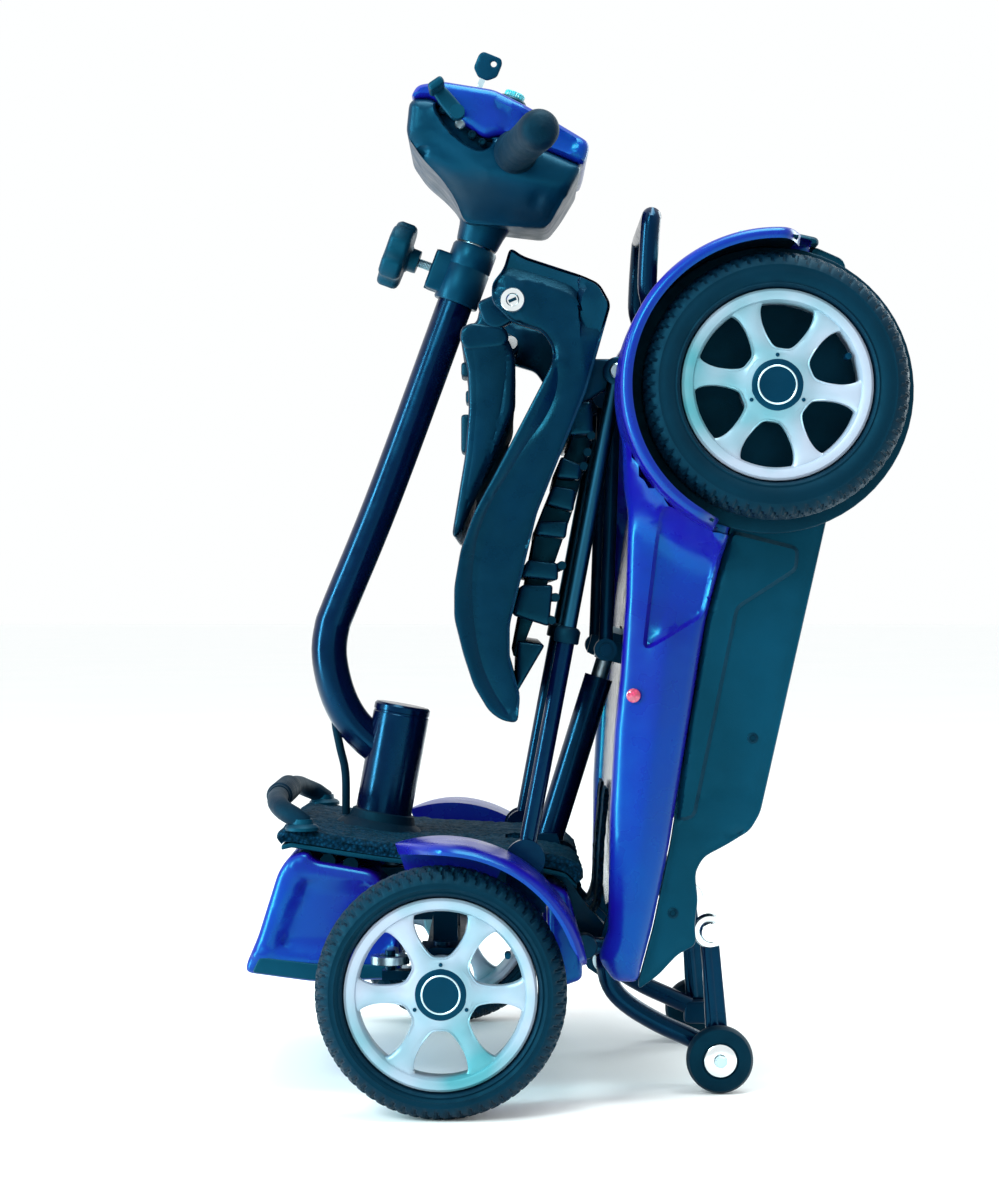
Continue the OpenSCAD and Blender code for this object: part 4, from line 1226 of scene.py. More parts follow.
def ribbon(path, half, thick, lump):
    """A thick mat on a path in XZ, its top and edges knobbled like looped pile."""
    path = [np.array(p, float) for p in path]
    tangents = [b - a for a, b in zip(path, path[1:])]
    tangents.append(tangents[-1])
    across = int(2 * half / MAT_LOOP)
    thick_steps = max(3, int(thick / 3))
    verts = []
    columns = len(path)
    round_edge = 4.0

    def place(i, y, up):
        t = tangents[i] / np.linalg.norm(tangents[i])
        normal = np.array([-t[1], t[0]])
        x, z = path[i] + normal * up
        return Vector((x, y, z)), Vector((normal[0], 0, normal[1]))

    ring = []
    for k in range(across + 1):
        y = -half + 2 * half * k / across
        fall = max(0.0, round_edge - (half - abs(y)))
        ring.append((y, thick - (round_edge - math.sqrt(max(round_edge**2 - fall**2, 0))), 1))
    ring += [
        (half, thick - round_edge - (thick - round_edge) * (k + 1) / thick_steps, 1)
        for k in range(thick_steps)
    ]
    ring += [(half - 2 * half * (k + 1) / 12, 0.0, 0) for k in range(12)]
    ring += [(-half, (thick - round_edge) * (k + 1) / (thick_steps + 1), 1) for k in range(thick_steps)]
    n = len(ring)
    for i in range(columns):
        end = min(i, columns - 1 - i)
        squeeze = 1 - 0.35 * max(0.0, 1 - end / 2.0)
        for y, up, live in ring:
            p, normal = place(i, y, up * squeeze)
            if live:
                bump = noise.noise(p * 0.22) + 0.6 * noise.noise(p * 0.5)
                out = normal if up > thick - round_edge - 0.1 else Vector((0, math.copysign(1, y), 0))
                p = p + out * (lump * bump - 0.6 * lump)
            verts.append(p)
    faces = []
    for i in range(columns - 1):
        for k in range(n):
            a, b = i * n + k, i * n + (k + 1) % n
            faces.append((a, b, b + n, a + n))
    faces.append(tuple(range(n)))
    faces.append(tuple((columns - 1) * n + k for k in range(n)))
    return verts, faces


def deck():
    """Adds the deck mat and the pan under it."""
    mat = Piece("deck_carpet")
    mat.add(notched(ribbon(mat_path(), DECK_HALF, MAT_THICK, 1.3), *ACTUATOR_SLOT), MAT)
    mat.make("front_chassis", ["deck_mat"], "rubber", sharp=60)
    tray = Piece("deck_pan")
    low = [(x, z - 4.2) for x, z in DECK_TOP]
    loop = soften([(x, z - 0.2) for x, z in DECK_TOP] + low[::-1], 1.2, 2)
    tray.add(notched(form([front(loop)], -DECK_HALF, DECK_HALF, edge=1.2, step=10), *ACTUATOR_SLOT), CASE)
    tray.make("front_chassis", ["deck_tray"], "case_black")
    sleeve = Piece("column_gaiter")
    foot = joint_place("steer")
    axis = Vector(joints["steer"]["axis"])
    flange = [(24.2, -11), (36, -13), (37.5, -10.5), (34, -7), (28, -3.5), (26, 3), (24.2, 4), (24.2, -11)]
    sleeve.turn(foot, axis, flange, 56, GRIP)
    sleeve.make("front_chassis", slot="rubber")


def fold_mat():
    """The loose end of the mat, folded into the gap between the deck and the rear body."""
    path = front(
        [
            (4, 177), (12, 170), (19, 156), (22, 142), (25.5, 134.5), (30.0, 140), (32.5, 156),
            (33.5, 176), (35.5, 205), (38.5, 236),
        ]
    )
    path = [(x - 2.2, z) for x, z in path]
    piece = Piece("mat_fold")
    for middle in (-FOLD_MAT_MIDDLE, FOLD_MAT_MIDDLE):
        strip, faces = ribbon(spline(path[::-1], 3.0), FOLD_MAT_HALF, 4.2, 0.7)
        piece.add(([(x, y + middle, z) for x, y, z in strip], faces), MAT)
    mat = piece.make(None, slot="rubber", sharp=60)
    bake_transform(mat)


def lift_handle():
    """The ribbed rubber carrying handle on the nose of the deck."""
    left = [
        (-206, -132, 210), (-206, -132, 214), (-213, -130, 219), (-221, -124, 223), (-227, -108, 227),
        (-230, -80, 228.6), (-231, -52, 229),
    ]
    path = [(x + shift_x, y, z) for x, y, z in left]
    path = path + [(x, -y, z) for x, y, z in reversed(path)]
    handle = Piece("nose_handle")
    handle.bar(spline(path, 6), 8.0, 20, GRIP)
    centre = (-231 + shift_x, 0, 229)
    ribs = []
    for k in range(-42, 43):
        a = 1.25 * k
        ribs.append((10.8 - 1.5 * max(0.0, math.sin(a * 0.62)) ** 4 - 2.0 * ramp(abs(a), 46, 52.5), a))
    sleeve = [(8.1, ribs[0][1])] + ribs + [(8.1, ribs[-1][1]), (8.1, ribs[0][1])]
    handle.turn(centre, (0, 1, 0), sleeve, 40, GRIP)
    for _, side in SIDES:
        foot = (-206 + shift_x, -132, 208)
        boss = [(0, 0), (13.5, 0), (13.5, 2.4), (11.4, 4.4), (9, 5.2), (8.1, 9), (0, 9)]
        handle.turn(foot, (0, 0, 1), boss, 32, CASE, side)
    handle.make("front_chassis", ["front_lift_handle"], "rubber", sharp=45)


def bent_stands():
    """The tubular legs that carry the trolley wheels, bent in one smooth curve."""
    for name, side in SIDES:
        path = front([(35, 112), (36, 92), (42, 77), (56, 64), (78, 51), (100, 41), (117, 33)])
        stand = Piece("stand_tube_" + name)
        tube = sweep([(x, -103, z) for x, z in spline(path, 5)], 7.9, 20)
        stand.add(sided(tube, side), ENAMEL)
        x, z = path[0]
        root = front_point(18, 113)
        stand.bar([(x, -103, z), (root[0], -103, root[1])], 7.4, 18, ENAMEL, side)
        boss = [(0, -9), (9.4, -9), (10.2, -8), (10.2, 6), (7, 7), (7, 34), (0, 34)]
        stand.turn((root[0], -103, root[1]), (0, 1, 0), boss, 32, FRAME, side)
        x, _, z = joint_place("trolley_roll_" + name)
        stand.add(sided(block((x - 12, x + 12), (-111, -95), (z - 9, z + 11), 3), side), FRAME)
        axle = [(0, -42), (4.9, -42), (4.9, 0), (0, 0)]
        stand.turn((x, -103, z), (0, 1, 0), axle, 24, STEEL, side)
        stand.make("front_chassis", ["trolley_stand_" + name], "frame_paint", sharp=45)
        arm = Piece("latch_arm_" + name)
        top = front_point(117, 127)
        blade = [
            (x - 8, z - 9), (x + 8, z - 9), (x + 9, z + 4), (top[0] + 7, top[1]), (top[0] - 7, top[1]),
            (x - 9, z + 4),
        ]
        arm.mould([soften(blade, 5)], -120, -112.2, ENAMEL, side, edge=2, step=8)
        arm.bar([(x - 2, -116, z + 12), (top[0] - 2, -116, top[1] - 12)], 5.2, 16, ENAMEL, side)
        roller = [
            (0, -7), (12.2, -7), (13.4, -5.6), (13.4, 4.4), (12.2, 6), (8.6, 6.2), (8, 13), (7, 14),
            (3.6, 14), (3.4, 12.4), (0, 12.4),
        ]
        arm.turn((top[0], -119, top[1]), (0, -1, 0), roller, 40, CHROME, side)
        stands_for = ["stand_latch_arms"] if side < 0 else ()
        arm.make("front_chassis", stands_for, "frame_paint", sharp=40)


nose_cover()
tail_cover()
front_fenders()
deck()
fold_mat()
lift_handle()
bent_stands()

# ---- steering column, tiller and head ----
TILLER = [
    (-137, 258), (-146, 263), (-160, 273), (-176, 291), (-187, 314), (-193, 343), (-191, 366),
    (-184, 386), (-145, 482), (-82.5, 652),
]
TILLER_R = 15.0
COLUMN_R = 23.5


def steering_post():
    """Adds the steering column."""
    foot = joint_place("steer")
    axis = Vector(joints["steer"]["axis"])
    column = Piece("column_tube")
    top = 95.0
    profile = [
        (0, -9), (COLUMN_R, -9), (COLUMN_R, top - 9), (COLUMN_R - 0.5, top - 8.4),
        (COLUMN_R - 0.5, top - 7.2), (COLUMN_R, top - 6.6), (COLUMN_R, top - 2.2),
        (COLUMN_R - 1.6, top - 0.4), (COLUMN_R - 4.5, top), (0, top - 0.6),
    ]
    column.turn(foot, axis, profile, 72, ENAMEL)
    weld = Vector((TILLER[0][0] + shift_x - 11, 0, TILLER[0][1] + 9.5))
    out = Vector((-0.82, 0, 0.57))
    bead = [(13.2, -3.5), (16.5, -2.5), (17.6, -0.4), (16.8, 1.8), (14.4, 2.6), (13.2, -3.5)]
    column.turn(weld, out, bead, 40, ENAMEL)
    column.make("steering", ["steering_column"], "tube_black", sharp=34)
    tube = Piece("tiller_bend")
    path = [(x, 0, z) for x, z in spline(front(TILLER), 6)]
    tube.bar(path, TILLER_R - 0.05, 30, ENAMEL)
    tube.make("steering", ["tiller_tube"], "tube_black", sharp=34)


def tiller_axis():
    """The top of the tiller and its sliding axis."""
    axis = Vector(joints["head_height"]["axis"])
    top = front_point(*TILLER[-1])
    return Vector((top[0], 0, top[1])), axis


def collar_and_knob():
    """Adds the height collar and its star knob."""
    top, axis = tiller_axis()
    collar = Piece("height_collar")
    profile = [
        (15.2, -14), (18.2, -14), (19, -12.8), (19, 16), (18.6, 16.6), (18.6, 17.6), (19, 18.2),
        (19, 34), (18, 36), (15.4, 36.5), (12.8, 36.5), (12.8, -14), (15.2, -14),
    ]
    collar.turn(top, axis, profile, 64, HEAD)
    side = Vector(joints["knob_turn"]["axis"])
    up = axis
    lug = block((0, 29.5), (-11, 11), (-10, 24), 2.5)
    collar.add(turned(lug, top, side, Vector((0, 1, 0)), up), HEAD)
    # A dark strip laid on the lug is painted shade standing in for the clamp's slit.
    slit_shade_strip = block((19.5, 29.8), (-1.6, 1.6), (-10.3, 24.3), 0.4)
    collar.add(turned(slit_shade_strip, top, side, Vector((0, 1, 0)), up), DARK)
    collar.make("steering", ["clamp_collar"], "head_black", sharp=38)
    knob_at = Vector(joint_place("knob_turn"))
    knob = Piece("star_knob")
    lobes = 5
    steps = 80
    flat = []
    for k in range(steps):
        turn = 2 * math.pi * k / steps
        wave = math.cos(lobes * turn)
        radius = 22.6 + 5.6 * (1 - (max(0.0, -wave)) ** 0.8) if wave < 0 else 28.2
        flat.append((radius * math.cos(turn), radius * math.sin(turn)))
    body = form([flat], 49.2, 70.8, edge=4.2, crown=1.6, reach=12, step=4.0)
    knob.add(turned(body, knob_at, Vector((0, 1, 0)), side, up), CASE)
    neck = [(0, 41), (9.6, 41), (10, 43), (10, 48), (12.6, 50), (0, 50)]
    knob.turn(knob_at, side, neck, 40, CASE)
    thread = [(0, 14)]
    for k in range(22):
        thread += [(3.9, 14 + 1.25 * k), (3.4, 14.6 + 1.25 * k)]
    thread += [(0, 42)]
    knob.turn(knob_at, side, thread, 24, STEEL)
    knob.make("height_knob", ["clamp_knob"], "knob_black", sharp=38)


HEAD_LOW = [
    (-123, 797), (-126, 768), (-112, 748), (-97, 734), (-86, 720), (-79, 703), (-79, 691), (-51, 682),
    (-40, 693), (-26, 698), (-10, 697), (8, 725), (18, 742), (-15, 756), (-48, 767), (-63, 764),
    (-86, 780), (-104, 797),
]
HEAD_UP = [
    (-123, 798), (-117, 809), (-97, 812), (-54, 805), (-30, 793), (-1, 777), (22, 763), (23, 756),
    (18.3, 742.8), (-15, 757), (-48, 768), (-63, 765), (-86, 781), (-104, 798),
]
POCKET = [
    (-104, 790), (-99, 799), (-88, 799), (-74, 787), (-54, 768), (-55, 758), (-66, 753), (-80, 760),
    (-96, 776),
]
HEAD_HALF = 84.0


def control_head():
    """The moulded head: textured lower shell with a neck, glossy upper shell, lever pockets and seams."""
    neck = [p for p in HEAD_LOW if not (-79.5 < p[0] < -39 and p[1] < 694)]
    lower = front_loop(neck, 7)
    pocket = front_loop(POCKET, 7)
    fold = front([(-104, 770), (-60, 738), (6, 724)])
    screw = [np.array(front_point(*p)) for p in ((-112, 754), (-20, 716))]

    def relief(points):
        sunk = -13.0 * ramp(signed(points, pocket), -1.0, 2.2)
        rim = 1.6 * np.exp(-((distance(points, pocket) / 3.0) ** 2)) * (signed(points, pocket) < 0)
        crease = -4.0 * ramp(above(points, fold), 2, -9)
        holes = sum(-4.0 * ramp(np.linalg.norm(points - s, axis=1), 4.6, 3.4) for s in screw)
        return sunk + rim + crease + holes - 1.6

    shell = Piece("head_case")
    solid = form(
        [lower], -HEAD_HALF, HEAD_HALF, edge=9, crown=1.5, reach=25, step=5, detail=relief,
        creases=[pocket, fold], spans=8,
    )
    waist = []
    for x, y, z in solid[0]:
        narrow = 1 - 0.62 * float(ramp(np.array(738.0 - z - 0.28 * (x - shift_x + 60)), 0, 42))
        waist.append((x, y * narrow, z))
    shell.add((waist, solid[1]), HEAD)
    top, axis = tiller_axis()
    neck_profile = [
        (12.7, 37.6), (17.2, 37.6), (18.0, 40), (19.6, 50), (23, 62), (27, 74), (0, 80), (0, 60),
        (12.7, 56), (12.7, 37.6),
    ]
    shell.turn(top, axis, neck_profile, 56, HEAD)
    shell.make("head", ["head_lower_shell"], "head_black", sharp=40)
    lid = Piece("head_lid")
    upper = front_loop(HEAD_UP, 5)

    lid_panel = front_loop([(-60, 796), (-20, 780), (14, 760), (10, 752), (-46, 772)], 4)

    def lid_relief(points):
        return -3.0 * ramp(signed(points, lid_panel), -1.5, 1.5)

    lid.mould(
        [upper], -HEAD_HALF + 4, HEAD_HALF - 4, BODY_BLUE, edge=8, crown=1.2, step=6, detail=lid_relief,
        spans=8,
    )
    lid.make("head", ["head_upper_shell"], "head_blue", sharp=40)
    clutter = Piece("lever_pocket_parts")
    for x, z, r in ((-96, 788, 3.0), (-82, 777, 4.2), (-72, 768, 3.4), (-64, 762, 3.0)):
        centre = front_point(x, z)
        shape = [(0, 0), (r, 0), (r, 7), (r * 0.7, 8), (r * 0.6, 6.6), (0, 6.6)]
        for _, side in SIDES:
            clutter.turn(
                (centre[0], -68.5, centre[1]), (0, -1, 0), shape, 20, STEEL if r > 4 else DARK, side
            )
    clutter.make("head", slot="head_black")
    console = Piece("console_parts")
    tilt = Vector((math.sin(math.radians(22)), 0, math.cos(math.radians(22))))
    for x, z, y, r, h, look in (
        (-72, 806.8, 0, 9.5, 4.0, STEEL), (-99, 812.0, -34, 9, 3.0, DARK), (-99, 812.0, 34, 9, 3.0, DARK),
        (-22, 789.0, 30, 7, 5, CYAN_LENS), (-22, 789.0, 10, 5, 3.4, RED_LENS),
    ):
        centre = front_point(x, z)
        base = Vector((centre[0], y, centre[1])) - tilt * 3
        shape = [
            (0 if r < 9.4 else 3.0, 0), (r, 0), (r, h + 2), (r - 1.4, h + 3.2),
            (3.0 if r >= 9.4 else 0, h + 3.2),
        ]
        if r >= 9.4:
            shape.append(shape[0])
        console.turn(base, tilt, shape, 32, look)
    console.make("head", slot="head_black")


def grips():
    """Adds the two hand grips."""
    root = np.array([-38 + shift_x, -80, 752])
    tip = np.array([-18 + shift_x, -214.5, 749])
    run = tip - root
    length = np.linalg.norm(run)
    profile = [(0, 0), (13.5, 0), (14.5, 3), (17.5, 5), (17.8, 9), (15.6, 12)]
    for k in range(28):
        t = 14 + 3.4 * k
        profile.append((15.9 - 0.7 * (k % 2) - 0.5 * math.sin(math.pi * k / 27), t))
    profile += [(16, length - 20), (15.6, length - 11), (13.4, length - 5), (9, length - 1.4), (0, length)]
    grip = Piece("rubber_grips")
    for _, side in SIDES:
        grip.turn(root, run, profile, 44, GRIP, side)
    grip.make("head", ["hand_grips"], "rubber", sharp=50)


def console_controls():
    """The thumb levers, the speed dial and the key, as turned and moulded pieces."""
    pivot = joint_place("throttle_push")
    lever = Piece("thumb_levers")
    lever.turn(
        (pivot[0], -94, pivot[2]), (0, 1, 0), [(0, 0), (2.9, 0), (2.9, 188), (0, 188)], 20, STEEL
    )
    x, z = pivot[0], pivot[2]
    blade = soften([(x - 4, z - 6), (x + 4, z + 5), (x - 10, z + 21), (x - 21, z + 17), (x - 14, z + 6)], 3)
    paddle = soften([(x - 21, z + 12), (x - 9, z + 20), (x - 13, z + 26), (x - 24, z + 18.5)], 3)
    for _, side in SIDES:
        lever.turn(
            (x, -97, z), (0, 1, 0), [(0, 0), (5.9, 0), (6.1, 1.4), (6.1, 11), (0, 12)], 28, CASE, side
        )
        lever.mould([blade], -94, -86, CASE, side, edge=2, crown=0.5, step=5)
        lever.mould([paddle], -116, -87, CASE, side, edge=2.6, crown=0.8, step=5, spans=4)
    lever.make("throttle", ["throttle_lever"], "head_black", sharp=40)
    dial_at = Vector(joint_place("dial_turn"))
    dial_axis = Vector(joints["dial_turn"]["axis"])
    dial = Piece("dial_knob")
    dial.turn(dial_at, dial_axis, [(0, 0), (12, 0), (12, 5.4), (10.6, 6.8), (0, 6.8)], 40, CASE)
    steps = 96
    fluted = []
    for k in range(steps):
        radius = 8.3 + 0.35 * math.cos(24 * 2 * math.pi * k / steps)
        turn = 2 * math.pi * k / steps
        fluted.append((radius * math.cos(turn), radius * math.sin(turn)))
    cap = form([fluted], 6.4, 12.4, edge=1.0, crown=0.4, step=3.0)
    across = Vector((0, 1, 0))
    dial.add(turned(cap, dial_at, across, dial_axis, across.cross(dial_axis).normalized()), CYAN_LENS)
    dial.make("dial", ["speed_dial"], "head_black", sharp=40)
    key_at = Vector(joint_place("key_turn"))
    key_axis = Vector(joints["key_turn"]["axis"])
    ahead = Vector((0, 1, 0)).cross(key_axis).normalized()
    key = Piece("switch_key")
    bow = soften(
        [(-4, 21), (4, 21), (10.6, 27), (10.6, 39), (8, 42.6), (-8, 42.6), (-10.6, 39), (-10.6, 27)],
        2.4,
    )
    hole = arc((4, 36), 2.5, 0, 360, 20)[:-1]
    solid = form([bow, hole], -1.5, 1.5, edge=0.6, step=3.0)
    key.add(turned(solid, key_at, ahead, Vector((0, 1, 0)), key_axis), HEAD)
    blade = form(
        [[(-2.4, 1), (2.4, 1), (2.4, 10), (1.7, 12), (2.4, 14), (2.4, 22), (-2.4, 22)]], -0.9, 0.9,
        edge=0.3, step=3.0,
    )
    key.add(turned(blade, key_at, ahead, Vector((0, 1, 0)), key_axis), STEEL)
    key.make("key", ["ignition_key"], "head_black", sharp=40)


steering_post()
collar_and_knob()
control_head()
grips()
console_controls()


def tiller_lead():
    """The cable that leaves the tiller tube at a grommet and runs down into the deck."""
    lead = Piece("tiller_lead")
    path = front([(-186, 303), (-188, 288), (-184, 266), (-179.5, 245), (-179, 210)])
    lead.bar([(x, 0, z) for x, z in spline(path, 5)], 3.45, 14, GRIP)
    top = Vector((path[0][0], 0, path[0][1]))
    grommet = [(0, -2), (6.4, -2), (6.8, 0), (5.6, 6), (4.6, 12), (3.5, 14), (0, 14)]
    lead.turn(top, (-0.1, 0, -1), grommet, 24, DARK)
    lead.make("steering", ["tiller_cable"], "rubber", sharp=60)


tiller_lead()

# ---- seat, backrest and their linkage ----
SEAT_LEFT = [
    (-42, 662), (-47, 645), (-56, 634), (-56, 620), (-40, 604), (-17, 597), (-9, 585), (-9, 573),
    (-36, 521), (-56, 483), (-70, 457), (-80, 429), (-85, 400), (-85, 376), (-78, 348), (-70, 324),
    (-58, 304), (-48, 297), (-36, 295),
]
SEAT_RIGHT = [
    (-34, 316), (-42, 345), (-42, 371), (-21, 457), (-5, 497), (17, 551), (27, 586), (36, 618),
    (27, 634), (14, 640), (-32, 655),
]
SEAT_BEAD = [
    (-55, 617), (-39, 602), (-19, 594), (-9, 580), (-5, 563), (-8, 545), (-17, 527), (-30, 509),
    (-42, 489), (-55, 468), (-65, 445), (-70, 420), (-71, 395), (-69, 369), (-64, 343), (-56, 323),
    (-47, 308), (-39, 297),
]
SHOULDER = [(-52, 641), (-34, 637), (8, 622), (12, 597), (14, 570)]
PAN_RIBS = [
    [(-36, 358), (-14, 355), (-37, 316)],
    [(-33, 402), (-8, 402), (-11, 369), (-40, 378)],
    [(-28, 422), (-4, 419), (-4, 405), (-33, 408)],
    [(-20, 452), (4, 452), (2, 438), (-22, 441)],
    [(-8, 480), (10, 477), (8, 459), (-14, 465)],
    [(-2, 503), (15, 496), (13, 484), (-6, 486)],
    [(4, 545), (22, 546), (24, 520), (4, 519)],
]
PAN_STUDS = [(-9, 374), (-6, 392), (-1, 417), (16, 495), (19, 506), (22, 519)]


CHEEK_INNER = -170.0


def seat_shell():
    """The bucket shell: two moulded cheeks with a rolled edge, a pan with boxed ribs, and its pivots."""
    outline = front_loop(SEAT_LEFT + SEAT_RIGHT, 5)
    bead = front(spline(SEAT_BEAD, 4))
    shoulder = front(spline(SHOULDER, 5))
    rim = front(spline(SEAT_LEFT[7:], 5))
    disc = np.array(front_point(-40, 621))

    def relief(points):
        roll = 5.5 * near(points, rim, 9.0)
        groove = -1.8 * near(points, bead, 2.2)
        slope = -0.34 * np.clip(above(points, shoulder[:-4]), 0, 30)
        ridge = 1.0 * near(points, shoulder, 4.0)
        bezel = 2.2 * ramp(np.linalg.norm(points - disc, axis=1), 17.0, 14.5)
        return roll + groove + slope + ridge + bezel - 6.5

    shell = Piece("seat_bucket")
    cheek = form(
        [outline], -190, CHEEK_INNER, edge=5, crown=1.0, reach=20, step=6, detail=relief,
        creases=[bead, shoulder],
    )
    cheek = ([(x, min(y, CHEEK_INNER), z) for x, y, z in cheek[0]], cheek[1])
    back = SEAT_RIGHT[:8]
    strip = front_loop(back + [(x - 6, z + 1.5) for x, z in reversed(back)], 2)
    lip = front_loop(
        [(36, 618), (27, 634), (14, 640), (-12, 648.5), (-13, 644.5), (12, 636), (24, 631), (31, 617)],
        1.5,
    )
    for _, side in SIDES:
        shell.add(sided(cheek, side), SHELL)
    shell.mould([strip], -171, 171, SHELL, edge=1.5, step=14)
    shell.mould([lip], -171, 171, SHELL, edge=1.2, step=14)
    for outline in PAN_RIBS:
        shell.mould([front_loop(outline, 3.2)], -150, 150, SHELL, edge=3, crown=0.6, step=6)
    for x, z in PAN_STUDS:
        x, z = front_point(x, z)
        peg = [(0, -5), (3.2, -5), (3.6, -4), (3.6, 4), (3.2, 5), (0, 5)]
        for y in (-144, -72, 0, 72, 144):
            shell.turn((x, y, z), (0, 1, 0), peg, 16, DARK)
    for y in (-112, -38, 38, 112):
        web = front_loop(
            [(-40, 345), (-34, 345), (-12, 402), (8, 460), (24, 520), (20, 540), (8, 520), (-20, 450)],
            4,
        )
        shell.mould([web], y - 2, y + 2, SHELL, edge=1, step=10)
    for _, side in SIDES:
        ear = front_loop([(12, 540), (30, 554), (52, 560), (54, 576), (44, 580), (20, 580)], 5)
        shell.mould([ear], -140, -126, FRAME, side, edge=2.5, step=8)
        x, z = front_point(42, 569)
        pin = [(0, -1), (6, -1), (6, 27.5), (5, 28.5), (0, 28.5)]
        shell.turn((x, -130, z), (0, -1, 0), pin, 28, STEEL, side)
        cap = [
            (0, 0), (6, 0), (6, 36), (9.6, 36.2), (9.6, 38.6), (8.8, 39.6), (5.2, 39.8), (4.2, 38.2),
            (0, 38.2),
        ]
        shell.turn((disc[0], -148, disc[1]), (0, -1, 0), cap, 40, CHROME, side)
        # A thin dark bar on the face of the pivot cap is painted shade standing in for the slot in it.
        corners = [(-3.2, -1.2), (3.2, -1.2), (3.2, 1.2), (-3.2, 1.2)]
        slot = [(disc[0] + x * 0.9 - z * 0.4, disc[1] + x * 0.4 + z * 0.9) for x, z in corners]
        shell.mould([slot], -187.2, -186.0, DARK, side, edge=0.3, step=4)
    shell.make("seat", ["seat_shell"], "seat_black", sharp=40)


CUSHION = [
    (-28, 514), (-50, 478), (-64, 453), (-73, 427), (-77.5, 400), (-77.5, 377), (-71, 352), (-63, 330),
    (-52, 311), (-46, 306), (-43, 318), (-51, 345), (-51, 372), (-31, 457), (-15, 498), (1, 539),
    (-15, 540),
]


def remeshed(obj, voxel):
    """Gives a piece an even quad mesh."""
    remesh = obj.modifiers.new("even", "REMESH")
    remesh.mode = "VOXEL"
    remesh.voxel_size = voxel * MM
    bake(obj)


def bake(obj):
    """Applies the piece's modifiers."""
    bpy.context.view_layer.update()
    ready = obj.evaluated_get(bpy.context.evaluated_depsgraph_get())
    mesh = bpy.data.meshes.new_from_object(ready)
    obj.modifiers.clear()
    old = obj.data
    obj.data = mesh
    bpy.data.meshes.remove(old)


def stuff(obj, cap):
    """Swells a piece as stuffed cloth; no point moves further than cap millimetres."""
    start = np.array([v.co[:] for v in obj.data.vertices])
    cloth = obj.modifiers.new("stuffing", "CLOTH")
    cloth.settings.quality = 5
    cloth.settings.use_pressure = True
    cloth.settings.uniform_pressure_force = 4.0
    cloth.settings.effector_weights.gravity = 0.0
    scene = bpy.context.scene
    for step in range(1, 21):
        scene.frame_set(step)
    bpy.context.view_layer.update()
    ready = obj.evaluated_get(bpy.context.evaluated_depsgraph_get())
    swollen = np.array([v.co[:] for v in ready.data.vertices])
    obj.modifiers.clear()
    scene.frame_set(1)
    move = swollen - start
    length = np.linalg.norm(move, axis=1)[:, None]
    move *= np.minimum(1, cap * MM / np.maximum(length, 1e-9))
    obj.data.vertices.foreach_set("co", (start + move).ravel())
    obj.data.update()


SEAM_WIDTH = 3.4


def sewn(obj, depth, channels):
    """Presses sewn channels into a pad: channels(point in mm) gives the distance to the nearest seam."""
    normals = np.array([v.normal[:] for v in obj.data.vertices])
    points = np.array([v.co[:] for v in obj.data.vertices]) / MM
    press = depth * np.exp(-((channels(points) / SEAM_WIDTH) ** 2))
    obj.data.vertices.foreach_set("co", ((points - normals * press[:, None]) * MM).ravel())
    obj.data.update()


def pad(name, outline, half, body, stands_for, channels, cap):
    """A stuffed pad from an outline in XZ: cloth under pressure, then sewn channels and one subdivision."""
    piece = Piece(name)
    piece.mould([front_loop(outline, 8)], -half, half, VINYL, edge=9, crown=1, step=7, spans=10)
    obj = piece.make(None, stands_for, "pad_black", sharp=180)
    remeshed(obj, 4.5)
    obj.data.materials.clear()
    obj.data.materials.append(VINYL)
    stuff(obj, cap)
    sewn(obj, 2.6, channels)
    smooth = obj.modifiers.new("smooth", "SUBSURF")
    smooth.levels = smooth.render_levels = 1
    obj.data.shade_smooth()
    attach(obj, body)


def cushions():
    """Adds the seat cushion and the back pad."""
    def seat_seams(points):
        border = np.abs(np.abs(points[:, 1]) - 104)
        across = np.min([np.abs(points[:, 2] - z) for z in (356, 410, 464)], 0)
        return np.minimum(border, np.where(np.abs(points[:, 1]) < 104, across, 99))

    def back_seams(points):
        border = np.abs(np.abs(points[:, 1]) - 108)
        across = np.min([np.abs(points[:, 2] - z) for z in (524, 560)], 0)
        return np.minimum(border, np.where(np.abs(points[:, 1]) < 108, across, 99))

    pad("seat_pad", CUSHION, 141, "seat", ["seat_cushion"], seat_seams, 5)
    outline = [
        (-62, 586), (-60, 550), (-65, 515), (-74, 470), (-68, 476), (-49, 512), (-41, 540),
        (-39.5, 570), (-43, 582),
    ]
    pad("back_pad", outline, 146, "back", (), back_seams, 3)


BACKREST = [
    (-64, 624), (-55, 618), (-46, 593), (-50, 585), (-55, 571), (-56, 537), (-66, 491), (-78.5, 446),
    (-84, 438), (-87, 441), (-77, 502), (-74, 539), (-75, 569), (-80, 590), (-80, 603), (-68, 606),
]


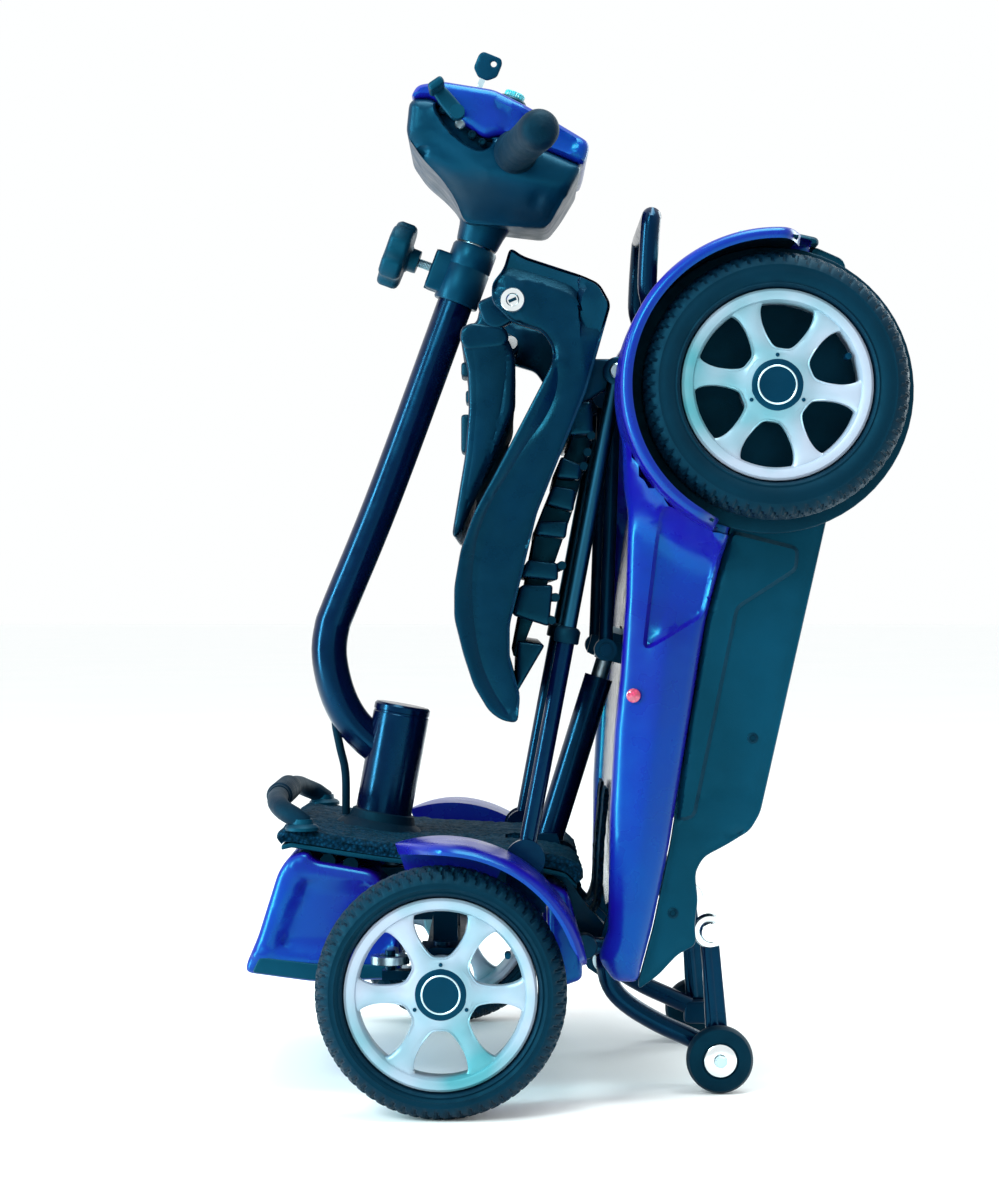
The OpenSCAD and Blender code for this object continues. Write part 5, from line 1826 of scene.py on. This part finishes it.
def backrest():
    """The folded backrest: a curved hard shell with side wings, two knobs behind and its pivot arms."""
    shell = Piece("backrest_shell")
    core = front_loop(BACKREST, 4)
    shell.mould([core], -164, 164, SHELL, edge=4, crown=0.6, step=8, spans=6)
    wing = [
        (-66, 606), (-52, 603), (-43, 594), (-37.5, 580), (-37.5, 538), (-58, 492), (-78, 448),
        (-84, 439), (-87, 442), (-77, 502), (-74, 539), (-75, 569), (-79, 590), (-79, 601),
    ]
    seam = front(spline([(-44, 590), (-46, 560), (-52, 525), (-66, 480), (-80, 446)], 5))

    def relief(points):
        return -1.4 * near(points, seam, 1.8) - 0.02 * distance(points, seam, False)

    side_wing = form(
        [front_loop(wing, 6)], -166, -146, edge=7, crown=2.0, step=6, detail=relief, creases=[seam]
    )
    ear = front_loop(
        [(-80, 602), (-72, 606), (-46, 603), (-42, 594), (-47, 587), (-76, 584), (-81, 592)], 4
    )
    arm = front_loop(
        [(-68, 622), (-58, 626), (-44, 632), (-33, 622), (-33, 611), (-52, 600), (-62, 604)], 5
    )
    for _, side in SIDES:
        shell.add(sided(side_wing, side), SHELL)
        shell.mould([ear], -166, -154, SHELL, side, edge=3.2, crown=1.2, step=5)
        shell.mould([arm], -165, -150, SHELL, side, edge=3, step=6)
        for z, half in ((570, 5.8), (520, 15)):
            x = front_point(-74.5, z)[0]
            back, face = x - 5.5, x + 4
            knob = [(back, z - half), (back, z + half), (face, z + half), (face, z - half)]
            shell.mould([soften(knob, 3)], -158, -118, DARK, side, edge=3, step=6)
    shell.make("back", ["backrest"], "seat_black", sharp=40)


def seat_legs():
    """Telescoping legs: a dark lower tube, a plastic collar, a silver upper rod and eyes at both ends."""
    foot = np.array([-30, 188.0])
    head_point = np.array([42, 569.0])
    run = head_point - foot
    length = np.linalg.norm(run)
    for name, side in SIDES:
        leg = Piece("seat_leg_" + name + "_tube")
        base = Vector((foot[0] + shift_x, -150, foot[1]))
        axis = Vector((run[0], 0, run[1]))
        middle = 0.46 * length
        lower = [(0, 10), (6.95, 10), (6.95, middle - 6), (0, middle - 6)]
        collar = [
            (0, middle - 7), (9.2, middle - 7), (10, middle - 6), (10, middle + 3), (8.4, middle + 5),
            (6.4, middle + 6), (0, middle + 6),
        ]
        upper = [(0, middle + 4), (6.2, middle + 4), (6.2, length - 8), (0, length - 8)]
        leg.turn(base, axis, lower, 28, ENAMEL, side)
        leg.turn(base, axis, collar, 32, DARK, side)
        leg.turn(base, axis, upper, 28, ROD_STEEL, side)
        low_eye = [(8.1, -7), (12.8, -7), (14, -5.8), (14, 5.8), (12.8, 7), (8.1, 7), (8.1, -7)]
        leg.turn(base, (0, 1, 0), low_eye, 40, ENAMEL, side)
        top_eye = [(6.1, -7), (9.8, -7), (11, -6), (11, 6), (9.8, 7), (6.1, 7), (6.1, -7)]
        tip = (head_point[0] + shift_x, -150, head_point[1])
        leg.turn(tip, (0, 1, 0), top_eye, 36, FRAME, side)
        leg.make("seat_legs", ["seat_leg_" + name], "tube_black", sharp=40)
        pivot = Piece("leg_pivot_cap_" + name)
        cap = [(0, 8.4), (13, 8.4), (15, 9.4), (15.4, 11), (13.6, 12.6), (9, 13.4), (7.6, 12.4), (0, 12.4)]
        pivot.turn(base, (0, -1, 0), cap, 40, CASE, side)
        pivot.make("front_chassis", slot="case_black", sharp=40)


seat_shell()
cushions()
backrest()
seat_legs()

# ---- plain CAD pieces that stay: edges broken and a painted, plated or cast finish ----
KEPT_LOOKS = {
    "frame_paint": FRAME,
    "bare_steel": STEEL,
    "tube_black": ENAMEL,
    "black_cover": PANEL,
    "case_black": CASE,
    "axle_alloy": ALLOY,
    "rubber": GRIP,
}
EDGE_BREAK = 0.8


def finish_kept_nodes():
    """Gives a material to every frame node that is still shown."""
    slots = {part["node"]: part["material_slot"] for part in frame["record"]["subparts"]}
    for name, obj in sorted(nodes.items()):
        if name in replaced:
            continue
        obj.data.materials.clear()
        obj.data.materials.append(KEPT_LOOKS[slots[name]])
        bevel = obj.modifiers.new("edge_break", "BEVEL")
        bevel.width = EDGE_BREAK * MM
        bevel.segments = 2
        bevel.limit_method = "ANGLE"
        bevel.angle_limit = math.radians(40)


finish_kept_nodes()
